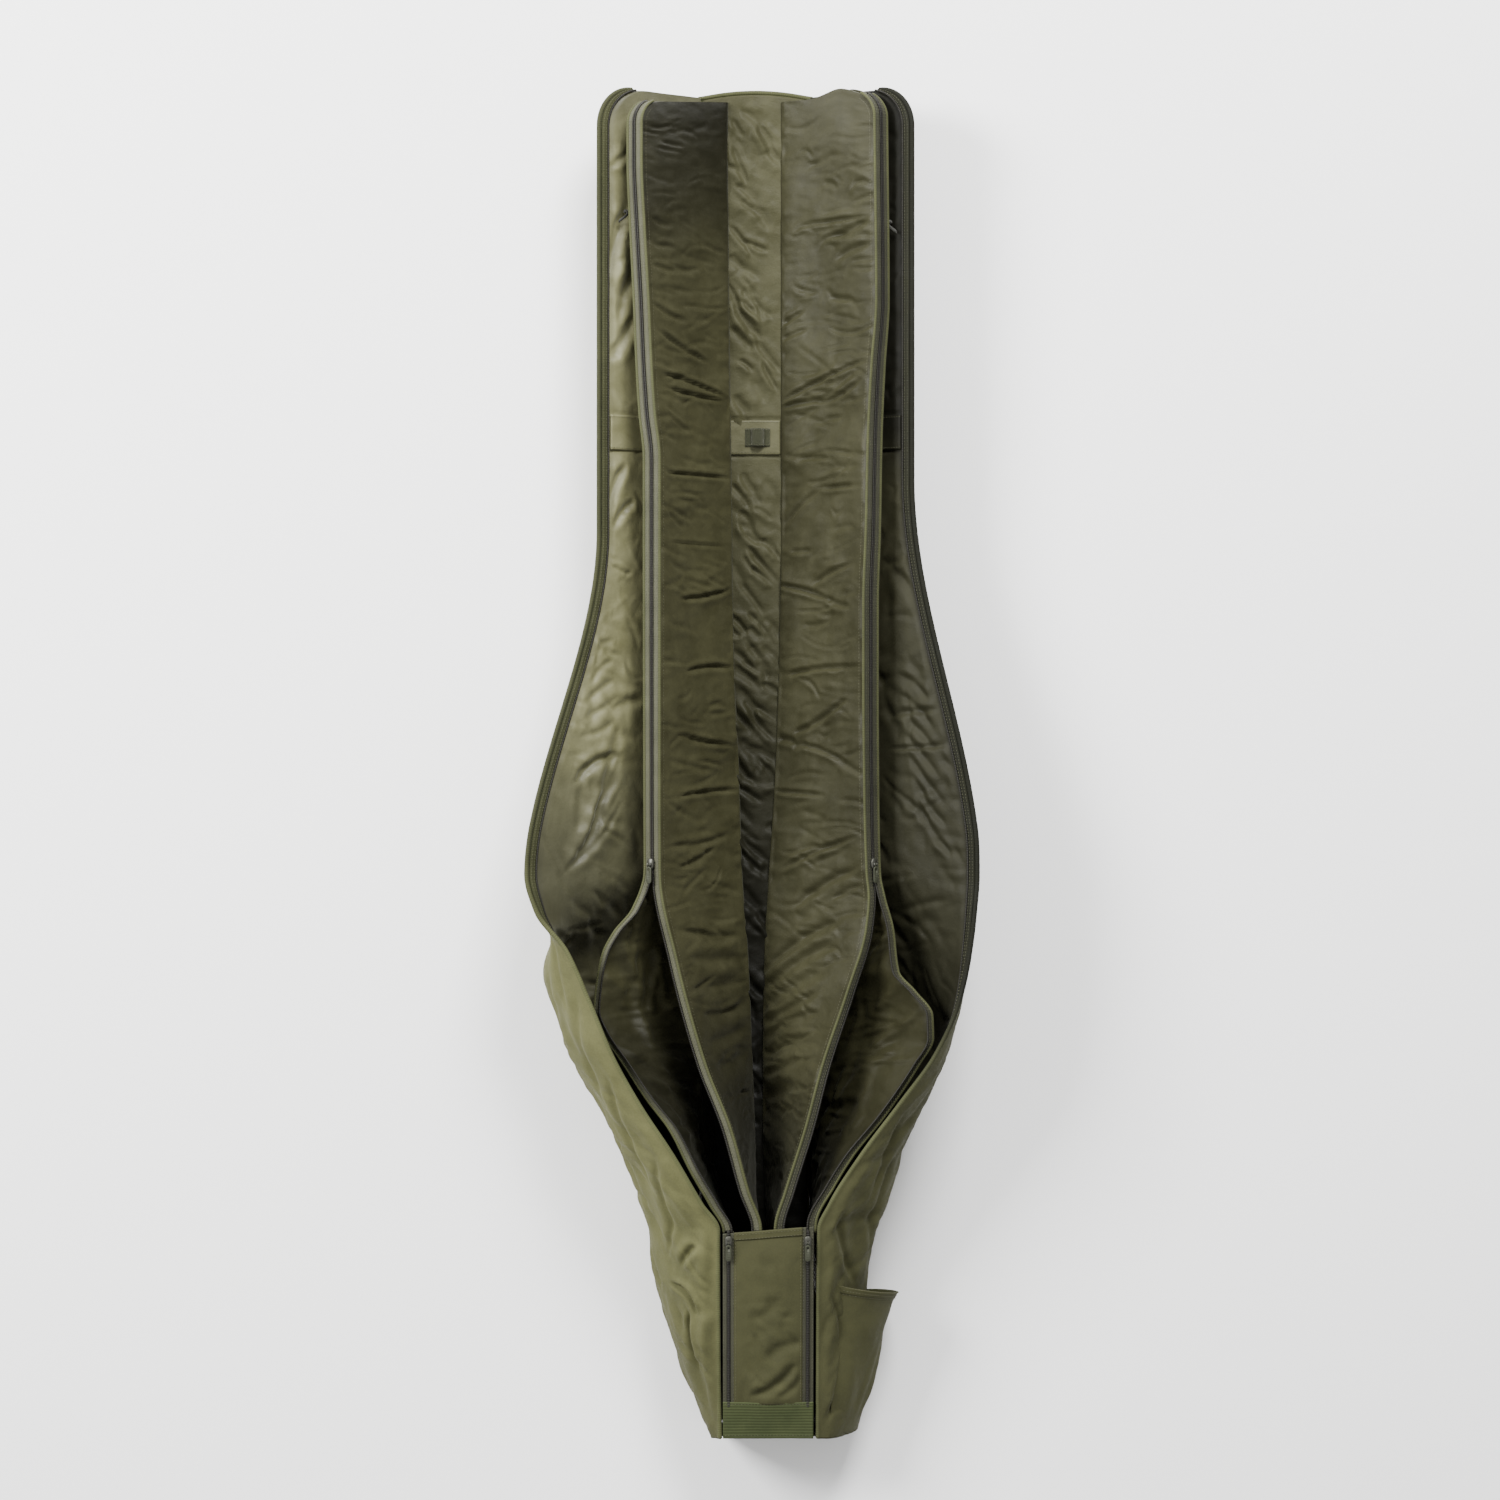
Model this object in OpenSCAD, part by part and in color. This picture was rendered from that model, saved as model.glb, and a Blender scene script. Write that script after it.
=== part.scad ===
// Padded holdall for five made-up fishing rods, lying open on its spine.
// X runs across the bag, Y along it towards the rod tips, Z up. Millimetres.
// The origin is under the middle of the bag, on the surface that it lies on.

/* [Bag] */
// Length of the bag from the butt end to the tip end
bag_len = 1950; // [1800:10:2100]
// Width of the spine panel between the two side walls
spine_w = 166; // [156:1:176]
// Thickness of a padded panel
pad = 6; // [5:0.5:7]

/* [Side walls] */
// Depth of a side wall at the rod tips
tip_depth = 184; // [170:1:195]
// Depth of the left wall at the reels
left_reel_depth = 316; // [300:1:325]
// Depth of the right wall at the reels
right_reel_depth = 302; // [290:1:315]
// Angle of the open walls above the floor
wall_lean = 38; // [34:1:42]
// Radius of the walls' corners at the tip
corner_r = 58; // [40:1:70]

/* [Rod sleeves] */
// Depth of the two zipped rod sleeves
sleeve_depth = 185; // [175:1:190]
// Thickness of a sleeve from face to face
sleeve_t = 27; // [25:0.5:29]
// Angle of the left sleeve above the floor
left_sleeve_lean = 58; // [56:1:60]
// Angle of the right sleeve above the floor
right_sleeve_lean = 50; // [48:1:52]

/* [Butt end] */
// Width of the zipped front strip, between the two pipings
strip_w = 130; // [126:1:132]
// Depth of the side pocket's mouth
pocket_gape = 46; // [36:1:50]

/* [Hidden] */

// Colours, as red, green and blue from 0 to 1
OUTER = [0.47, 0.46, 0.31];
LINING = [0.50, 0.49, 0.37];
PADDED = [0.30, 0.29, 0.22];
FOAM = [0.75, 0.75, 0.72];
TRIM = [0.33, 0.34, 0.24];
TAPE = [0.28, 0.28, 0.23];
COIL = [0.10, 0.10, 0.09];
METAL = [0.35, 0.35, 0.34];
WEBBING = [0.26, 0.29, 0.19];

// Places along the bag. The stations below are for a bag of 1950 mm and scale with it.
ky = bag_len / 1950;
tip_y = bag_len / 2;
butt_y = -bag_len / 2;
split_y = -156 * ky;      // where the free walls and sleeves meet the sewn butt section
mouth_y = -665 * ky;      // upper edge of the front strip
strip_end_y = -917 * ky;  // where the front strip's zips end and the band begins
joint_gap = 1.5;          // between the free parts and the butt section
layer = 0.1;              // between the layers of a panel
skin = 1.2;               // outer fabric
lining_t = 1;             // lining fabric
binding = 4;              // width of a binding or piping

// Across the bag
spine_x = 7;                                  // middle of the spine panel
hinge_z = 8.5;                                // height of the walls' and sleeves' seams
wall_x = [spine_x - spine_w / 2, spine_x + spine_w / 2];
sleeve_x = [spine_x - 38, spine_x + 37];      // the sleeves' seams either side of the centre trough
sleeve_lean = [left_sleeve_lean, right_sleeve_lean];
reel_depth = [left_reel_depth, right_reel_depth];
SIDE = [-1, 1];                               // left and right
strip_x = [25 - strip_w / 2, 25 + strip_w / 2];
strip_top_z = 180;                            // front strip at the mouth
strip_slope = atan2(54, 305);                 // its fall towards the butt end

// ---- helpers -------------------------------------------------------------------------

function clamp01(t) = min(1, max(0, t));
function mix(a, b, t) = a + (b - a) * t;
function flip(list) = [for (i = [len(list) - 1 : -1 : 0]) list[i]];
function unit(v) = v / norm(v);
function near(list, i) = list[min(len(list) - 1, max(0, i))];
function tangent(path, i) = unit(near(path, i + 1) - near(path, i - 1));

// A flat path moved sideways by d, to the right of its direction for a positive d
function beside(path, d) = [for (i = [0 : len(path) - 1])
    let (t = tangent(path, i)) path[i] + d * [t[1], -t[0]]];

// Cubic curve through four control points, as n + 1 points
function curve(b, c1, c2, r, n) = [for (i = [0 : n]) let (t = i / n, s = 1 - t)
    s * s * s * b + 3 * s * s * t * c1 + 3 * s * t * t * c2 + t * t * t * r];

// Linear look-up of a row at y in a table whose first column falls
function row_at(table, y, i = 0) =
    i >= len(table) - 2 || y * 1 >= table[i + 1][0] * ky
        ? mix(table[i], table[i + 1],
            clamp01((table[i][0] * ky - y) / ((table[i][0] - table[i + 1][0]) * ky)))
        : row_at(table, y, i + 1);

// Two triangles for each cell of a grid of n rows of m points, starting at point o
function cells(n, m, o, turned) = [for (i = [0 : n - 2], j = [0 : m - 2], k = [0, 1])
    let (a = o + i * m + j, b = a + 1, c = a + m, d = c + 1,
         f = k == 0 ? [a, b, d] : [a, d, c])
    turned ? flip(f) : f];

// Triangles that join the edges of two such grids of the same size
function rims(n, m, o) =
    let (edge = concat([for (j = [0 : m - 1]) j], [for (i = [1 : n - 1]) i * m + m - 1],
            [for (j = [m - 2 : -1 : 0]) (n - 1) * m + j], [for (i = [n - 2 : -1 : 1]) i * m]))
    [for (i = [0 : len(edge) - 1], k = [0, 1])
        let (a = edge[i], b = edge[(i + 1) % len(edge)])
        k == 0 ? [a, o + b, b] : [a, o + a, o + b]];

// A closed sheet between two grids of points
module sheet(outer, inner, turned = false) {
    n = len(outer);
    m = len(outer[0]);
    faces = concat(cells(n, m, 0, false), cells(n, m, n * m, true), rims(n, m, n * m));
    polyhedron(
        points = concat([for (r = outer) each r], [for (r = inner) each r]),
        faces = turned ? [for (f = faces) flip(f)] : faces);
}

// A round cord of radius r along a path, with 8 sides
module cord(path, r) {
    n = len(path);
    m = 8;
    ring = function(i)
        let (t = tangent(path, i), a = unit(cross(t, [0, 0, 1])), b = cross(a, t))
        [for (j = [0 : m - 1]) path[i] + r * (cos(j * 360 / m) * a + sin(j * 360 / m) * b)];
    polyhedron(
        points = [for (i = [0 : n - 1]) each ring(i)],
        faces = concat([[for (j = [0 : m - 1]) j]], [[for (j = [m - 1 : -1 : 0]) (n - 1) * m + j]],
            [for (i = [0 : n - 2], j = [0 : m - 1], k = [0, 1])
                let (a = i * m + j, b = i * m + (j + 1) % m)
                k == 0 ? [a, a + m, b + m] : [a, b + m, b]]));
}

// Puts a flat outline, with depth along x and the bag's length along y, into the plane
// of a panel on side k that starts at x, z and leans up from the floor. The panel's
// thickness runs from w0 to w1 towards the inside of the bag.
module panel(k, x, lean, w0, w1) {
    translate([x, 0, hinge_z])
        mirror([k == 0 ? 1 : 0, 0, 0])
        rotate([0, -lean, 0])
        translate([0, 0, w0])
        linear_extrude(height = w1 - w0) children();
}

// A flat path kept above the split
function above(path) = [for (p = path) [p[0], max(p[1], split_y + joint_gap)]];

// The strip of a flat outline between two distances inside its free edge
module edging(path, d0, d1) {
    polygon(concat(above(beside(path, d0)), flip(above(beside(path, d1)))));
}

// ---- side walls ----------------------------------------------------------------------

// Depth of wall k at y: even along the rods, then swelling smoothly towards the reels
SWELL = [[335, 530], [410, 590]];  // where it starts, and over what length
function smooth(t) = t * t * (3 - 2 * t);
function wall_depth(k, y) = tip_depth
    + (reel_depth[k] - tip_depth) * smooth(clamp01((SWELL[k][0] - y / ky) / SWELL[k][1]));

// The free edge of wall k from depth u at the tip, round the corner, to the split
function wall_edge(k, u = 0) = concat(
    [[u, tip_y]],
    [for (a = [90 : -15 : 0]) [tip_depth - corner_r + corner_r * cos(a),
        tip_y - corner_r + corner_r * sin(a)]],
    [for (i = [0 : 14]) let (y = mix(700 * ky, split_y + joint_gap, i / 14)) [wall_depth(k, y), y]]);

module wall_shape(k, inset) {
    polygon(concat(above(beside(wall_edge(k), inset)), [[0, split_y + joint_gap]]));
}

module wall_outer(k) {
    color(OUTER) panel(k, wall_x[k], wall_lean, 0, skin) wall_shape(k, binding + layer);
}

module wall_foam(k) {
    color(FOAM) panel(k, wall_x[k], wall_lean, skin + layer, pad) wall_shape(k, binding + layer);
}

module wall_lining(k) {
    color(LINING) panel(k, wall_x[k], wall_lean, pad + layer, pad + layer + lining_t)
        wall_shape(k, 18);
}

module wall_piping(k) {
    color(TRIM) panel(k, wall_x[k], wall_lean, 0, pad + lining_t) edging(wall_edge(k), 0, binding);
}

// Half of the main zip: a tape inside the piping, with its coil along the edge
module wall_zip(k) {
    top = pad + layer + lining_t;
    color(TAPE) panel(k, wall_x[k], wall_lean, pad + layer, top) edging(wall_edge(k, 40), binding + layer, 17.8);
    color(COIL) panel(k, wall_x[k], wall_lean, top, top + 2) edging(wall_edge(k, 40), binding + layer, 8);
}

// Smooth hook-and-loop patch across the compartment, where a rod is strapped in
strap_y = 478 * ky;
strap_w = 50;
module strap_patch(k) {
    color(LINING) panel(k, wall_x[k], wall_lean, pad + 2 * layer + lining_t, pad + 2 * layer + 2 * lining_t)
        translate([12, strap_y - strap_w / 2]) square([tip_depth - 36, strap_w]);
}

// Carry handle: two sewn legs on the outside of the wall and a loop that hangs from them
handle_y = 60 * ky;
handle_span = 190;
handle_u = 150;
web_w = 38;
web_t = 2.5;
module handle_webbing(k) {
    for (s = [-1, 1])
        color(WEBBING) panel(k, wall_x[k], wall_lean, -web_t - layer, -layer)
            translate([20, handle_y + s * handle_span / 2 - web_w / 2]) square([handle_u - 20, web_w]);
}

// The loop swings about a line along y, just outside the ends of the legs
function handle_hinge(k) = [wall_x[k] + SIDE[k] * ((handle_u + 1) * cos(wall_lean) + 4 * sin(wall_lean)),
    hinge_z + (handle_u + 1) * sin(wall_lean) - 4 * cos(wall_lean)];

module handle_grip(k) {
    drop = 66;
    h = handle_hinge(k);
    outer = handle_span + web_w;
    color(WEBBING) translate([h[0] - web_t / 2, handle_y, h[1]])
        rotate([90, 0, 90]) linear_extrude(height = web_t) difference() {
            translate([-outer / 2, -drop]) square([outer, drop]);
            translate([-outer / 2 + web_w, -drop + web_w * 0.7]) square([handle_span - web_w, drop]);
        }
}

// ---- spine ---------------------------------------------------------------------------

module spine_shape(inset) {
    a = wall_x[0] + inset;
    b = wall_x[1] - inset;
    polygon([[a, tip_y - inset], [b, tip_y - inset], [b, -700 * ky], [138 - inset, butt_y + 6 + inset],
        [-48 + inset, butt_y + 6 + inset], [a, -770 * ky]]);
}

module spine_outer() { color(OUTER) linear_extrude(height = skin) spine_shape(binding + 1); }

module spine_foam() {
    color(FOAM) translate([0, 0, skin + layer]) linear_extrude(height = pad - skin - layer) spine_shape(6);
}

module spine_lining() {
    color(LINING) translate([0, 0, pad + layer]) linear_extrude(height = lining_t) spine_shape(7);
}

module tip_piping() {
    color(TRIM) translate([wall_x[0] + 5, tip_y - binding - 0.4, 0])
        cube([spine_w - 10, binding, pad + lining_t]);
}

// ---- rod sleeves ---------------------------------------------------------------------

sleeve_r = 30;
function sleeve_edge(u) = concat(
    [[u, tip_y - 6]],
    [for (a = [90 : -18 : 0]) [sleeve_depth - sleeve_r + sleeve_r * cos(a),
        tip_y - 6 - sleeve_r + sleeve_r * sin(a)]],
    [[sleeve_depth, split_y + joint_gap]]);

// A panel of sleeve k between w0 and w1, cut off level with its seam at the bottom
module sleeve_panel(k, w0, w1) {
    u = -w0 / tan(sleeve_lean[k]) + 0.5;
    color(PADDED) panel(k, sleeve_x[k], sleeve_lean[k], w0, w1)
        polygon(concat(sleeve_edge(u), [[u, split_y + joint_gap]]));
}

module sleeve_outer_panel(k) { sleeve_panel(k, -sleeve_t, -sleeve_t + pad); }

module sleeve_inner_panel(k) { sleeve_panel(k, -pad, 0); }

// The band that joins the two panels round the free edge, and carries the sleeve's zip
band_t = 2;
module sleeve_band(k) {
    u = sleeve_t / tan(sleeve_lean[k]) + 1;
    color(TAPE) panel(k, sleeve_x[k], sleeve_lean[k], -sleeve_t, 0)
        edging(sleeve_edge(u), -band_t, -0.05);
}

coil_w = 5;
coil_h = 2.2;
module sleeve_zip(k) {
    mid = -sleeve_t / 2;
    color(COIL) panel(k, sleeve_x[k], sleeve_lean[k], mid - coil_w / 2, mid + coil_w / 2)
        translate([sleeve_depth + band_t + 0.05, split_y + joint_gap])
        square([coil_h, tip_y - split_y - sleeve_r - 20]);
}

module sleeve_binding(k) {
    for (w = [-sleeve_t, -3])
        color(TRIM) panel(k, sleeve_x[k], sleeve_lean[k], w, w + 3)
            edging(sleeve_edge(40), -band_t - 4, -band_t - 0.05);
}

// ---- zip sliders ---------------------------------------------------------------------

slider_l = 15;
slider_w = 10;
slider_h = 5;
pin_r = 0.9;
pin_z = slider_h + 1.9;
// Slider of a coil zip, astride the coil, which runs along y under z = 0 to coil_h.
// Its nose points to +y, and a cross pin in two ears carries the pull.
module slider_shape() {
    color(METAL) difference() {
        union() {
            linear_extrude(height = slider_h) polygon([[-3.4, 0], [3.4, 0], [slider_w / 2, 4],
                [slider_w / 2, slider_l - 3], [3, slider_l], [-3, slider_l],
                [-slider_w / 2, slider_l - 3], [-slider_w / 2, 4]]);
            for (x = [-2.8, 1.6])
                translate([x, 4.2, slider_h]) cube([1.2, 4, 3]);
        }
        translate([-coil_w / 2 - 0.6, -1, -1]) cube([coil_w + 1.2, slider_l + 2, coil_h + 1.6]);
    }
    color(METAL) translate([-2.8, 6.2, pin_z]) rotate([0, 90, 0]) cylinder(h = 5.6, r = pin_r, $fn = 24);
}

// Pull of a slider, lying back along -y over the coil from its eye on the pin
pull_l = 27;
module pull_shape() {
    color(TRIM) translate([0, 6.2, pin_z]) difference() {
        union() {
            rotate([0, 90, 0]) translate([0, 0, -1.3]) cylinder(h = 2.6, r = 1.9, $fn = 24);
            translate([-1.3, -9, -0.8]) cube([2.6, 8, 1.6]);
            translate([0, -pull_l, -0.8]) linear_extrude(height = 1.8) difference() {
                union() {
                    translate([-4, 4]) square([8, 16]);
                    translate([0, 4]) circle(r = 4, $fn = 32);
                    translate([0, 20]) circle(r = 4, $fn = 32);
                }
                translate([0, 19.5]) circle(r = 1.6, $fn = 24);
            }
        }
        rotate([0, 90, 0]) translate([0, 0, -2]) cylinder(h = 4, r = pin_r + 0.25, $fn = 24);
    }
}

// Stands a shape on the band of sleeve k, at the split
module on_sleeve(k) {
    c = sleeve_lean[k];
    w = -sleeve_t / 2;
    u = sleeve_depth + band_t;
    x = sleeve_x[k] + SIDE[k] * (u * cos(c) - w * sin(c));
    translate([x, split_y + 6, hinge_z + u * sin(c) + w * cos(c)])
        rotate([0, SIDE[k] * (90 - c), 0]) children();
}

// Puts a shape on the front strip: y is measured down the slope from the mouth
module on_strip(x, y, z) {
    translate([0, mouth_y, strip_top_z]) rotate([strip_slope, 0, 0]) translate([x, y, z]) children();
}

// ---- butt section --------------------------------------------------------------------

// Cross-sections of the two sides: y, the seam's x, the outermost x, the free edge's x
// and z, and how round the side is from 0, flat, to 1
BUTT_SIDE = [
    [[-156, -76, -321, -321, 199, 0], [-212, -76, -318, -306, 206, 0.3], [-268, -76, -302, -262, 210, 0.7],
     [-340, -76, -278, -229, 211, 1], [-412, -76, -252, -199, 209, 1], [-485, -76, -218, -159, 204, 1],
     [-557, -76, -184, -112, 197, 1], [-629, -76, -156, -70, 186, 1], [-665, -76, -146, -47, 179, 1],
     [-773, -74, -128, -47, 160, 1], [-870, -64, -98, -47, 143, 1], [-970, -50, -54, -47, 126, 1]],
    [[-156, 90, 325, 325, 191, 0], [-212, 90, 324, 321, 197, 0.2], [-281, 90, 320, 312, 203, 0.4],
     [-340, 90, 309, 298, 207, 0.6], [-412, 90, 284, 265, 211, 0.8], [-485, 90, 240, 212, 208, 1],
     [-557, 90, 213, 158, 200, 1], [-629, 90, 195, 113, 188, 1], [-665, 92, 182, 98, 179, 1],
     [-773, 100, 166, 97, 160, 1], [-870, 118, 162, 97, 143, 1], [-970, 138, 152, 97, 126, 1]]];

// The cross-section of side k at one row of its table, as n + 1 points from seam to free edge
function side_section(k, row, n) =
    let (b = [row[1] - SIDE[k] * 2 * (1 - row[5]), mix(hinge_z, 3, row[5])], r = [row[3], row[4]],
         bulge = (8 * row[2] - b[0] - r[0]) / 6,
         c1 = mix(b + (r - b) / 3, [bulge, 0.06 * r[1]], row[5]),
         c2 = mix(b + (r - b) * 2 / 3, [bulge, 0.75 * r[1]], row[5]))
    curve(b, c1, c2, r, n);

// A section moved d towards the inside of the bag
function inwards(k, section, d) = beside(section, -SIDE[k] * d);

// The surface of side k, d inside its outer face, from row i0 to i1 of its table
function side_grid(k, d, n = 8) = [for (row = BUTT_SIDE[k])
    [for (p = inwards(k, side_section(k, row, n), d)) [p[0], row[0] * ky, p[1]]]];

module butt_side(k) {
    color(OUTER) sheet(side_grid(k, 0), side_grid(k, skin), turned = k == 1);
}

module butt_padding(k) {
    color(PADDED) sheet(side_grid(k, skin + layer), side_grid(k, pad), turned = k == 1);
}

// A point beyond the free edge of side k: out along the side, then off its outer face
function past_edge(k, row, along, off) =
    let (s = side_section(k, row, 8), t = tangent(s, 8), o = SIDE[k] * [t[1], -t[0]],
         p = s[8] + along * t + off * o)
    [p[0], row[0] * ky, p[1]];

module butt_piping() {
    r = 3;
    for (k = [0, 1])
        color(TRIM) cord(below([for (row = BUTT_SIDE[k]) past_edge(k, row, r + 0.6, -1.5)]), r);
}

// A path whose first point is moved a little away from the split
function below(path) = [for (i = [0 : len(path) - 1]) path[i] - [0, i == 0 ? 5 : 0, 0]];

// The open halves of the main zips, from the split down to the front strip
module butt_zip_halves() {
    top = pad + 4.6;
    for (k = [0, 1]) {
        rows = [for (row = BUTT_SIDE[k]) if (row[0] > -640) row];
        part = function(u0, u1, w) [for (row = rows) [past_edge(k, row, u0, -w), past_edge(k, row, u1, -w)]];
        color(TAPE) sheet(part(-7, -0.5, top), part(-7, -0.5, top + 1), turned = k == 1);
        color(COIL) sheet(part(-4.5, -0.6, top + 1.1), part(-4.5, -0.6, top + 3), turned = k == 1);
    }
}

// The lower part of each divider: y, the seam's x, and the free edge's x and z
DIVIDER = [
    [[-156, -59, -149, 153], [-209, -60, -166, 150], [-241, -61, -192, 150], [-271, -62, -208, 148],
     [-307, -62, -216, 146], [-353, -62, -220, 150], [-384, -62, -208, 158], [-425, -60, -180, 172],
     [-476, -58, -146, 180], [-520, -56, -112, 184], [-580, -54, -82, 182], [-629, -50, -54, 176],
     [-665, -44, -36, 170], [-800, -42, -36, 146], [-960, -34, -34, 118]],
    [[-156, -22, -131, 163], [-281, -7, -107, 168], [-430, 1, -66, 172], [-520, 4, -31, 175],
     [-610, 6, -6, 175], [-660, 7, 11, 170], [-800, 9, 16, 146], [-960, 10, 17, 118]],
    [[-156, 34, 165, 148], [-190, 30, 170, 150], [-235, 26, 166, 155], [-326, 22, 139, 162],
     [-430, 21, 104, 170], [-520, 21, 80, 175], [-610, 23, 52, 175], [-660, 27, 38, 170],
     [-800, 32, 34, 146], [-960, 36, 34, 118]],
    [[-156, 78, 182, 134], [-190, 78, 188, 140], [-235, 79, 200, 146], [-298, 80, 208, 156],
     [-326, 80, 232, 168], [-358, 80, 255, 182], [-390, 80, 256, 186], [-427, 80, 236, 190],
     [-499, 82, 188, 190], [-557, 84, 142, 188], [-600, 86, 116, 182], [-655, 88, 90, 172],
     [-800, 88, 86, 146], [-960, 96, 86, 118]]];
divider_z = 9.6;
divider_t = 5;

module divider(i) {
    rows = DIVIDER[i];
    half = divider_t / 2;
    across = function(row) let (t = unit([row[2] - row[1], row[3] - divider_z])) [t[1], -t[0]];
    face = function(row, d) let (n = across(row) * d)
        [[row[1] + n[0], row[0] * ky, divider_z + n[1]], [row[2] + n[0], row[0] * ky, row[3] + n[1]]];
    color(PADDED) sheet([for (row = rows) face(row, -half)], [for (row = rows) face(row, half)]);
}

module divider_binding() {
    r = 3;
    for (rows = DIVIDER)
        color(TRIM) cord(below([for (row = rows) if (row[0] > -700)
            let (t = unit([row[2] - row[1], row[3] - divider_z]), p = [row[2], row[3]] + (r + 1.2) * t)
            [p[0], row[0] * ky, p[1]]]), r);
}

strip_l = norm([(mouth_y - (butt_y + 5)), 54 * ky]);
zip_l = (mouth_y - strip_end_y) / cos(strip_slope);
tape_w = 17;
module front_strip() {
    color(OUTER) on_strip(0, -zip_l, -2) translate([strip_x[0] + tape_w, 0, 0])
        cube([strip_w - 2 * tape_w, zip_l - 10, 2]);
}

module front_strip_hem() {
    color(TRIM) on_strip(strip_x[0] + tape_w, -9.8, -2.4) cube([strip_w - 2 * tape_w, 9.8, 2.8]);
}

module butt_band() {
    color(WEBBING) on_strip(strip_x[0], -strip_l, -2) cube([strip_w, strip_l - zip_l - 0.2, 2.4]);
}

// Closed zip at one edge of the front strip
module front_zip(k) {
    x = k == 0 ? strip_x[0] : strip_x[1] - tape_w;
    color(TAPE) on_strip(x + 0.2, -zip_l, -1.6) cube([tape_w - 0.4, zip_l, 1.2]);
    color(COIL) on_strip(x + tape_w / 2 - coil_w / 2, -zip_l, -0.4) cube([coil_w, zip_l - 4, coil_h]);
}

slider_start = -22;
module on_front_zip(k) {
    x = k == 0 ? strip_x[0] + tape_w / 2 : strip_x[1] - tape_w / 2;
    on_strip(x, slider_start, -0.35) children();
}

module butt_end_panel() {
    color(OUTER) translate([0, butt_y + 4, 0]) rotate([90, 0, 0]) linear_extrude(height = 4)
        polygon([[-50, 1], [138, 1], [150, 40], [146, 70], [100, 120], [-48, 120], [-53, 60]]);
}

// ---- side pocket ---------------------------------------------------------------------

pocket_rows = [-760, -800, -850, -910, -962];
function pocket_grid(d) = [for (i = [0 : 4])
    let (y = pocket_rows[i] * ky, s = side_section(1, row_at(BUTT_SIDE[1], y), 20),
         gape = mix(pocket_gape, 3, pow(i / 4, 0.7)))
    [for (j = [3 : 17]) let (t = tangent(s, j), f = sin((j - 3) / 14 * 180),
        p = s[j] + (0.4 + gape * f + d) * [t[1], -t[0]]) [p[0], y, max(0.2 + d, p[1])]]];

module side_pocket() {
    color(OUTER) sheet(flip(pocket_grid(1.6)), flip(pocket_grid(0)), turned = false);
}

module side_pocket_hem() {
    a = pocket_grid(2.4);
    b = pocket_grid(3.8);
    part = function(g) [g[0], [for (j = [0 : 14]) mix(g[0][j], g[1][j], 0.3)]];
    color(TRIM) sheet(flip(part(b)), flip(part(a)));
}

// ---- strap in the centre trough ------------------------------------------------------

trough_w = sleeve_x[1] - sleeve_x[0];
module centre_strap_patch() {
    color(LINING) translate([sleeve_x[0] + 1, strap_y - strap_w / 2, pad + 2 * layer + lining_t])
        cube([trough_w - 2, strap_w, lining_t]);
}

// Hook-and-loop strap over a rod of 14 mm: a flat foot, an arch and a flat tab
arch_r = 8;
strap_t = 1.6;
strap_x = spine_x + 3;
strap_z = pad + 3 * layer + 2 * lining_t;
module centre_rod_strap() {
    foot = 10;
    color(TAPE) translate([strap_x, strap_y + 13, strap_z]) rotate([90, 0, 0]) linear_extrude(height = 26)
        union() {
            difference() {
                circle(r = arch_r + strap_t, $fn = 40);
                circle(r = arch_r, $fn = 40);
                translate([-20, -20]) square([40, 20]);
            }
            for (s = [-1, 1])
                translate([s * (arch_r + foot / 2) - foot / 2, 0]) square([foot, strap_t]);
        }
}

// ---- the nodes -----------------------------------------------------------------------

spine_outer();
spine_foam();
spine_lining();
tip_piping();
wall_outer(0);  // left_wall_outer
wall_foam(0);  // left_wall_foam
wall_lining(0);  // left_wall_lining
wall_piping(0);  // left_wall_piping
wall_zip(0);  // left_wall_zip
strap_patch(0);  // left_strap_patch
handle_webbing(0);  // left_handle_webbing
handle_grip(0);  // left_handle_grip
wall_outer(1);  // right_wall_outer
wall_foam(1);  // right_wall_foam
wall_lining(1);  // right_wall_lining
wall_piping(1);  // right_wall_piping
wall_zip(1);  // right_wall_zip
strap_patch(1);  // right_strap_patch
handle_webbing(1);  // right_handle_webbing
handle_grip(1);  // right_handle_grip
sleeve_outer_panel(0);  // left_sleeve_outer_panel
sleeve_inner_panel(0);  // left_sleeve_inner_panel
sleeve_band(0);  // left_sleeve_band
sleeve_zip(0);  // left_sleeve_zip
sleeve_binding(0);  // left_sleeve_binding
on_sleeve(0) slider_shape();  // left_sleeve_slider
on_sleeve(0) pull_shape();  // left_sleeve_pull
sleeve_outer_panel(1);  // right_sleeve_outer_panel
sleeve_inner_panel(1);  // right_sleeve_inner_panel
sleeve_band(1);  // right_sleeve_band
sleeve_zip(1);  // right_sleeve_zip
sleeve_binding(1);  // right_sleeve_binding
on_sleeve(1) slider_shape();  // right_sleeve_slider
on_sleeve(1) pull_shape();  // right_sleeve_pull
butt_side(0);  // left_butt_side
butt_padding(0);  // left_butt_padding
butt_side(1);  // right_butt_side
butt_padding(1);  // right_butt_padding
butt_piping();
butt_zip_halves();
divider(0);  // left_outer_divider
divider(1);  // left_inner_divider
divider(2);  // right_inner_divider
divider(3);  // right_outer_divider
divider_binding();
front_strip();
front_strip_hem();
butt_band();
butt_end_panel();
front_zip(0);  // left_front_zip
on_front_zip(0) slider_shape();  // left_front_slider
on_front_zip(0) pull_shape();  // left_front_pull
front_zip(1);  // right_front_zip
on_front_zip(1) slider_shape();  // right_front_slider
on_front_zip(1) pull_shape();  // right_front_pull
side_pocket();
side_pocket_hem();
centre_strap_patch();
centre_rod_strap();
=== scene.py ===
"""Looks of the padded rod holdall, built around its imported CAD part. Row frame, metres."""

import math

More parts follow.
